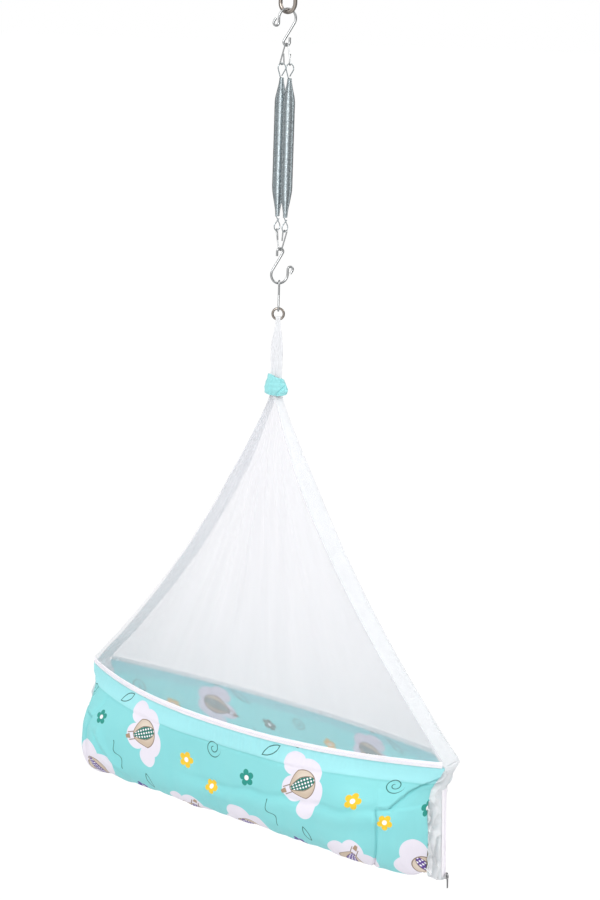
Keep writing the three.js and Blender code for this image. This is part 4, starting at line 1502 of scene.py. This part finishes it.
def walls():
    """The long walls of the trough, each one piece of printed cotton turned under the mattress."""
    for node, side, relief, look in (
        ("front_wall", -1, front_relief, FRONT_PRINT),
        ("rear_wall", 1, rear_relief, REAR_PRINT_PAINTED_LIGHTER),
    ):
        def place(u, v):
            z = body_z(side, v)
            x = -side * np.sin((u - 0.5) * math.pi) * end_reach(z)
            y = side * body_depth(side, x, v)
            slack = left_slack(y, z) * inside(-x / HALF_LENGTH)
            return x - slack, y, z

        wall = laid_cloth(node + "_cotton", place, WALL_FACES, CLOTH, relief)
        finish(wall, look, "print_cloth", "cradle_body", node)


# Strips along the rims
STRIP_FACES = (320, 6)
STRIP_WAVES = (5, 30 * MM, 90 * MM)
STRIP_WAVE = 0.3 * MM
STRIP_INSET = 0.2 * MM
TEETH_LIFT = 0.1 * MM


def rim_place(side, foot, height, stand_out):
    """The places of a strip that runs along a rim."""
    reach = HALF_LENGTH - BAND_THICKNESS - GAP

    def place(u, v):
        x = -side * np.sin((u - 0.5) * math.pi) * reach
        return x, side * (body_depth(side, x, 0 * x) + stand_out), foot + height * (1 - v)

    return place


def rim_strips():
    """The front zip's tape and teeth, and the hem that binds the rear net to its rim."""
    net_off = GAP + NET_THICKNESS

    def relief(surface, across, down):
        return STRIP_WAVE * ripples(across, down, SEED + 4, *STRIP_WAVES) - STRIP_INSET

    place = rim_place(-1, RIM_Z + GAP, TAPE_HEIGHT, net_off)
    tape = laid_cloth("front_zip_tape_cloth", place, STRIP_FACES, TAPE_THICKNESS, relief)
    finish(tape, TAPE, "zip_tape", "cradle_body", "front_zip_tape")

    centre = RIM_Z + GAP + TAPE_HEIGHT / 2
    line = rim_place(-1, centre, 0, net_off + TEETH_LIFT)
    teeth = zip_teeth("front_zip_teeth_row", line, (0, 0, 1))
    finish(teeth, TEETH, "zip_teeth", "cradle_body", "front_zip_teeth")

    place = rim_place(1, RIM_Z - REAR_RIM_DIP + GAP, BINDING_HEIGHT, net_off)
    hem = laid_cloth("rear_binding_cloth", place, STRIP_FACES, TAPE_THICKNESS, relief)
    finish(hem, WHITE, "white_cloth", "cradle_body", "rear_binding")


# Teeth
TOOTH_SHARE = 0.62
TOOTH_STEP_SHARE = 0.17
TOOTH_BEVEL = 0.3 * MM
TANGENT_STEP = 1 * MM
LINE_SAMPLES = 1200


def one_tooth(name):
    """A moulded tooth with its edges taken off."""
    tooth = made(name, bpy.ops.mesh.primitive_cube_add, size=1)
    with editing():
        size = (TOOTH_PITCH * TOOTH_SHARE, TEETH_WIDTH * TOOTH_SHARE, TEETH_HEIGHT)
        bpy.ops.transform.resize(value=size)
        bpy.ops.mesh.bevel(offset=TOOTH_BEVEL, segments=1)
    return tooth


def across_line(line, width):
    """Places along a line at the teeth's pitch, with its direction, its width and its face."""
    fine = np.linspace(0, 1, LINE_SAMPLES)
    path = np.stack(np.broadcast_arrays(*line(fine, 0 * fine)), axis=1)
    along = np.concatenate([[0], np.cumsum(np.linalg.norm(np.diff(path, axis=0), axis=1))])
    count = int(along[-1] / TOOTH_PITCH)
    stations = (np.arange(count) + 0.5) * along[-1] / count

    def places(distances):
        return np.stack([np.interp(distances, along, path[:, k]) for k in range(3)], axis=1)

    tangent = places(stations + TANGENT_STEP) - places(stations - TANGENT_STEP)
    tangent /= np.linalg.norm(tangent, axis=1, keepdims=True)
    face = np.cross(tangent, np.broadcast_to(np.array(width, float), tangent.shape))
    face /= np.linalg.norm(face, axis=1, keepdims=True)
    return places(stations), tangent, np.cross(face, tangent), face


def zip_teeth(name, line, width):
    """Small moulded teeth, set by turns from either side along a zip."""
    tooth = one_tooth(name)
    shape = points_of(tooth.data)
    faces = [list(face.vertices) for face in tooth.data.polygons]
    points, polygons = [], []
    for k, (spot, tangent, side, out) in enumerate(zip(*across_line(line, width))):
        step = (1 if k % 2 else -1) * TEETH_WIDTH * TOOTH_STEP_SHARE
        offset = spot + side * step + out * TEETH_HEIGHT / 2
        points.append(offset + shape @ np.stack([tangent, side, out]))
        polygons += [[i + len(shape) * k for i in face] for face in faces]
    mesh = bpy.data.meshes.new(name)
    mesh.from_pydata(np.concatenate(points).tolist(), [], polygons)
    mesh.update()
    tooth.data = mesh
    return tooth


# Ends
END_FABRIC = 1.2 * MM
END_FACES = (72, 150)
END_TAPE_FABRIC = 0.8 * MM
END_TAPE_FACES = (12, 90)
END_TAPE_LIFT = 1 * MM
SEAM_RISE = 3.2 * MM
GATHER_FALL = 9 * MM
GATHER_SHARE = 0.8
WRINKLE_SIDE_FADE = 7 * MM
WRINKLE_TAPE_CLEAR = 1 * MM
WRINKLE_TOP_FADE = 40 * MM
PULL_WAVES = (4, 50 * MM, 110 * MM)
PULL_SWAY = 8 * MM
FOLD_WAVES = (5, 22 * MM, 48 * MM)
FOLD_DOWN_SHARE = 0.3
FOLD_SHARPNESS = 2.2
FOLD_HEIGHT = 6 * MM
CRUMPLE_WAVES = (6, 12 * MM, 30 * MM)
CRUMPLE_HEIGHT = 1.5 * MM
WRINKLE_INSET = 3 * MM


def tip_drop(y):
    """How far an end cloth's foot hangs down, most at its middle."""
    return END_TIP * (1 - inside(np.abs(y) / end_half(y, BOTTOM_Z)) ** 2)


def end_place(side, y, z, stand_out):
    """A place on an end's outer face."""
    bulge = END_BULGE * (1 - inside(np.abs(y) / end_half(y, z)) ** 2)
    slack = left_slack(y, z) if side < 0 else 0
    return side * (end_reach(z) + slack + GAP + END_CLOTH + bulge + stand_out), y, z


def ends():
    """White end cloths, pulled into upright wrinkles, with the ends of the zip down them."""
    top = RIM_Z - END_TUCK_HEIGHT - END_ZIP_MARGIN
    for word, side in (("left", -1), ("right", 1)):
        def cloth_place(u, v):
            across = side * (2 * u - 1)
            z = mix(RIM_Z + SEAM_RISE, BOTTOM_Z, v)
            droop = inside((v - 1 + TIP_SHARE) / TIP_SHARE) ** 2
            y = across * end_half(across, z)
            x, y, z = end_place(side, y, z - droop * tip_drop(y), 0 * y)
            gathered = GATHER_SHARE * (1 - inside((RIM_Z + SEAM_RISE - z) / GATHER_FALL))
            return x - side * gathered * (np.abs(x) - end_reach(z) - GAP), y, z

        def wrinkles(surface, across, down):
            beside = np.abs(surface[..., 1]) - END_TAPE_WIDTH / 2 - WRINKLE_TAPE_CLEAR
            low = smooth(inside(down / WRINKLE_TOP_FADE)) * inside(beside / WRINKLE_SIDE_FADE)
            pulled = across + PULL_SWAY * ripples(across, down, SEED + 10 + side, *PULL_WAVES)
            ridges = np.abs(ripples(pulled, down * FOLD_DOWN_SHARE, SEED + 5 + side, *FOLD_WAVES))
            folds = FOLD_HEIGHT * (1 - FOLD_SHARPNESS * ridges)
            crumple = CRUMPLE_HEIGHT * ripples(across, down, SEED + 12 + side, *CRUMPLE_WAVES)
            return (folds + crumple - WRINKLE_INSET) * low

        cloth = laid_cloth(f"end_cloth_{word}_cotton", cloth_place, END_FACES, END_FABRIC, wrinkles)
        finish(cloth, WHITE, "white_cloth", "cradle_body", f"end_cloth_{word}")

        def strip(width, stand_out):
            def place(u, v):
                y = side * (u - 0.5) * width
                z = mix(top, BOTTOM_Z - tip_drop(y) + END_ZIP_MARGIN, v)
                return end_place(side, y, z, stand_out + 0 * y)

            return place

        place = strip(END_TAPE_WIDTH, GAP + END_TAPE_LIFT)
        tape = laid_cloth(f"end_zip_tape_{word}_cloth", place, END_TAPE_FACES, END_TAPE_FABRIC)
        finish(tape, TAPE, "zip_tape", "cradle_body", f"end_zip_tape_{word}")

        run = strip(0, GAP + END_TAPE_LIFT + TEETH_LIFT)
        teeth = zip_teeth(f"end_zip_teeth_{word}_row", lambda u, v: run(v, u), (0, side, 0))
        finish(teeth, TEETH, "zip_teeth", "cradle_body", f"end_zip_teeth_{word}")


# Base and mattress
BASE_INSET = 8 * MM
BASE_FACES = (240, 50)
BASE_EDGE_INSET = 2 * MM
BASE_LIFT = 0.4 * MM
BASE_WAVES = (7, 60 * MM, 200 * MM)
BASE_WAVE = 0.4 * MM
BASE_SINK = 0.6 * MM
MATTRESS_VOXEL = 6 * MM
MATTRESS_PRESSURE = 4
MATTRESS_SWELL = 5 * MM
CLOTH_STEPS = 20


def base_cover():
    """The flat bottom of the trough, of the same printed cotton."""
    half = end_reach(BOTTOM_Z) - BASE_INSET

    def edge(side, x):
        return side * (body_depth(side, x, 1 + 0 * x) - BASE_EDGE_INSET)

    def place(u, v):
        x = -np.sin((u - 0.5) * math.pi) * half
        return x, mix(edge(1, x), edge(-1, x), v), BOTTOM_Z + BASE_LIFT + 0 * x

    def relief(surface, across, down):
        return BASE_WAVE * ripples(across, down, SEED + 8, *BASE_WAVES) - BASE_SINK

    cover = laid_cloth("base_cover_cotton", place, BASE_FACES, CLOTH, relief)
    finish(cover, PRINT, "print_cloth", "cradle_body", "base_cover")


def copy_of_solid(node, name):
    """A merged copy of a solid, to be worked further."""
    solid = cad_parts[node]
    mesh = solid.data.copy()
    mesh.transform(solid.matrix_world)
    mesh.name = name
    return close_seam(brought_in(name, mesh))


def swell(pad, foot):
    """Blows the pad up a little, as its filling does, and keeps it flat where it lies."""
    rest = points_of(pad.data)
    cloth = pad.modifiers.new("Filling", "CLOTH")
    cloth.settings.use_pressure = True
    cloth.settings.uniform_pressure_force = MATTRESS_PRESSURE
    cloth.settings.effector_weights.gravity = 0
    scene = bpy.context.scene
    for step in range(1, CLOTH_STEPS + 1):
        scene.frame_set(step)
    blown = pad.evaluated_get(bpy.context.evaluated_depsgraph_get())
    move = points_of(blown.data) - rest
    far = np.linalg.norm(move, axis=1, keepdims=True)
    move *= np.minimum(1, MATTRESS_SWELL / np.maximum(far, 1e-9))
    pad.modifiers.remove(cloth)
    scene.frame_set(1)
    filled = rest + move
    filled[:, 2] = np.maximum(filled[:, 2], foot)
    move_points(pad.data, filled)


def foam_mattress():
    """The mattress in its ticking, filled out by a little pressure."""
    low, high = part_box("foam_mattress")
    pad = copy_of_solid("foam_mattress", "foam_mattress_pad")
    long, wide, tall = high - low
    shrink = (1 - 2 * MATTRESS_SWELL / long, 1 - 2 * MATTRESS_SWELL / wide, 1 - MATTRESS_SWELL / tall)
    to_foot = Matrix.Translation((0, 0, low.z))
    pad.data.transform(to_foot @ Matrix.Diagonal((*shrink, 1)) @ to_foot.inverted())
    changed_by("REMESH", "Even faces", mode="VOXEL", voxel_size=MATTRESS_VOXEL)
    swell(pad, low.z)
    changed_by("SUBSURF", "Finer", levels=1, render_levels=1)
    bpy.ops.object.shade_smooth()
    finish(pad, TICKING, "mattress", "cradle_body", "foam_mattress")


# Sliders
EDGE_ROUND = 0.35 * MM
FLAT_ANGLE = 2


def sliders():
    """The two zip sliders and their pulls, with their stamped edges rounded off."""
    for word in ("left", "right"):
        for node, body in ((f"zip_slider_{word}", f"slider_{word}"), (f"pull_tab_{word}", f"pull_{word}")):
            piece = copy_of_solid(node, node + "_cast")
            with editing():
                bpy.ops.mesh.dissolve_limited(angle_limit=math.radians(FLAT_ANGLE))
                bpy.ops.mesh.bevel(offset=EDGE_ROUND, segments=2, clamp_overlap=True)
            bpy.ops.object.shade_smooth_by_angle(angle=math.radians(SHARP_EDGE))
            finish(piece, SLIDER_STEEL, "slider_metal", body, node)


def board():
    """The stiff board stays as its solid, with a wood look."""
    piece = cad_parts["base_board"]
    piece.data.materials.clear()
    piece.data.materials.append(BOARD)


# Setting

FLOOR_DROP = 0.75
FLOOR_SIZE = 400
FLOOR_GLOW = 0.9
FLOOR_GREY = 0.8
FLOOR_SEEN_GREY = 0.13
SKY_HIGH = 1.55
SKY_LOW = 0.86
SKY_SWAY = 0.4
SKY_SCREENS = 3.0
SKY_PHASE = 0.9
ROOM_DIM = 0.2
SCREEN_AZIMUTH = -74
SCREEN_POWER = 6.0
LIGHT_AIM_RISE = 0.3


def grey(share):
    return (share, share, share, 1)


def round_about(graph, place):
    """The direction of a place about the vertical."""
    x, y, _ = graph.split(place)
    return graph.sum("ARCTAN2", y, x)


def white_screen(graph, heading):
    """How bright a mirror sees the room: one broad white screen, and dim behind it."""
    facing = graph.sum("COSINE", heading - math.radians(SCREEN_AZIMUTH)) * 0.5 + 0.5
    return graph.sum("POWER", facing, SCREEN_POWER) * (1 - ROOM_DIM) + ROOM_DIM


def floor():
    """A plain white floor: bright to the eye, and only a soft grey to the cradle's underside."""
    look = Look("Floor", roughness=0.9)
    eye, mirror = look.rays()
    look.set("Base Color", look.blend(eye.most(mirror), grey(FLOOR_GREY), grey(FLOOR_SEEN_GREY)))
    look.set("Emission Color", grey(1))
    screen = white_screen(look, round_about(look, look.object_map()))
    look.set("Emission Strength", eye.most(mirror * screen) * FLOOR_GLOW)
    look.set("Specular IOR Level", 0.0)
    bpy.ops.object.select_all(action="DESELECT")
    bpy.ops.mesh.primitive_plane_add(size=FLOOR_SIZE, location=(0, 0, BOTTOM_Z - FLOOR_DROP))
    plane = bpy.context.object
    plane.name = "floor"
    plane.data.materials.append(look.material)


def sky():
    """White walls to the eye; a studio brighter above, with dim gaps between its screens."""
    world = bpy.data.worlds.new("Studio")
    bpy.context.scene.world = world
    world.use_nodes = True
    graph = Graph(world.node_tree)
    place = graph.read("ShaderNodeTexCoord", "Generated")
    _, _, up = graph.split(place)
    heading = round_about(graph, place)
    eye, mirror = graph.rays()
    lift = (up * 0.5 + 0.5) * (SKY_HIGH - SKY_LOW) + SKY_LOW
    screens = (heading * SKY_SCREENS + SKY_PHASE).sine() * SKY_SWAY + (1 - SKY_SWAY)
    unseen = lift * screens * (eye.most(mirror) * -1 + 1)
    strength = unseen + eye.most(mirror * white_screen(graph, heading))
    background = graph.nodes["Background"]
    graph.put(background.inputs["Strength"], strength)
    graph.put(background.inputs["Color"], grey(1))


# Lamps: name, place in metres, width, height and watts
LAMPS = (
    ("Key light", (1.4, -3.2, 1.6), 1.6, 2.6, 80),
    ("Side light", (2.8, 2.4, 1.6), 2.0, 2.0, 45),
    ("Left light", (-3.4, -1.6, 1.0), 2.0, 2.0, 22),
    ("Top light", (0.8, 0.8, 2.2), 2.0, 2.0, 14),
)


def lamps():
    """Broad area lights that look at the tent."""
    for name, place, width, height, watts in LAMPS:
        bpy.ops.object.light_add(type="AREA", location=place)
        lamp = bpy.context.object
        lamp.name = name
        lamp.data.shape = "RECTANGLE"
        lamp.data.size = width
        lamp.data.size_y = height
        lamp.data.energy = watts
        aim = Vector((0, 0, RIM_Z + LIGHT_AIM_RISE)) - Vector(place)
        lamp.rotation_euler = aim.to_track_quat("-Z", "Y").to_euler()


def camera():
    """The photograph's camera, fitted to the plumb line, the rim and the ends."""
    turn, pitch, roll, aim = map(math.radians, (CAMERA_AZIMUTH, CAMERA_PITCH, CAMERA_ROLL, CAMERA_AIM))
    back = Vector((math.sin(turn), -math.cos(turn), 0))
    ahead = -back * math.cos(pitch) - Vector((0, 0, math.sin(pitch)))
    ahead = ahead * math.cos(aim) + ahead.cross(Vector((0, 0, 1))).normalized() * math.sin(aim)
    right = ahead.cross(Vector((0, 0, 1))).normalized()
    up = right.cross(ahead)
    right, up = (right * math.cos(roll) + up * math.sin(roll),
                 up * math.cos(roll) - right * math.sin(roll))
    data = bpy.data.cameras.new("Camera")
    data.sensor_width = SENSOR
    data.lens = FOCAL_PIXELS * SENSOR / IMAGE_HEIGHT
    data.clip_end = CAMERA_REACH
    eye = bpy.data.objects.new("Camera", data)
    bpy.context.collection.objects.link(eye)
    place = back * CAMERA_DISTANCE + Vector((0, 0, RIM_Z + CAMERA_ABOVE_RIM))
    eye.matrix_world = Matrix.Translation(place) @ Matrix((right, up, -ahead)).transposed().to_4x4()
    bpy.context.scene.camera = eye


bpy.context.scene.view_settings.view_transform = "Standard"
camera()
sky()
lamps()
floor()
ceiling_link()
s_hooks()
yokes()
springs()
small_s_link()
strap_ring()
strap_loop()
neck_collar()
bands()
nets()
walls()
rim_strips()
ends()
base_cover()
foam_mattress()
board()
sliders()
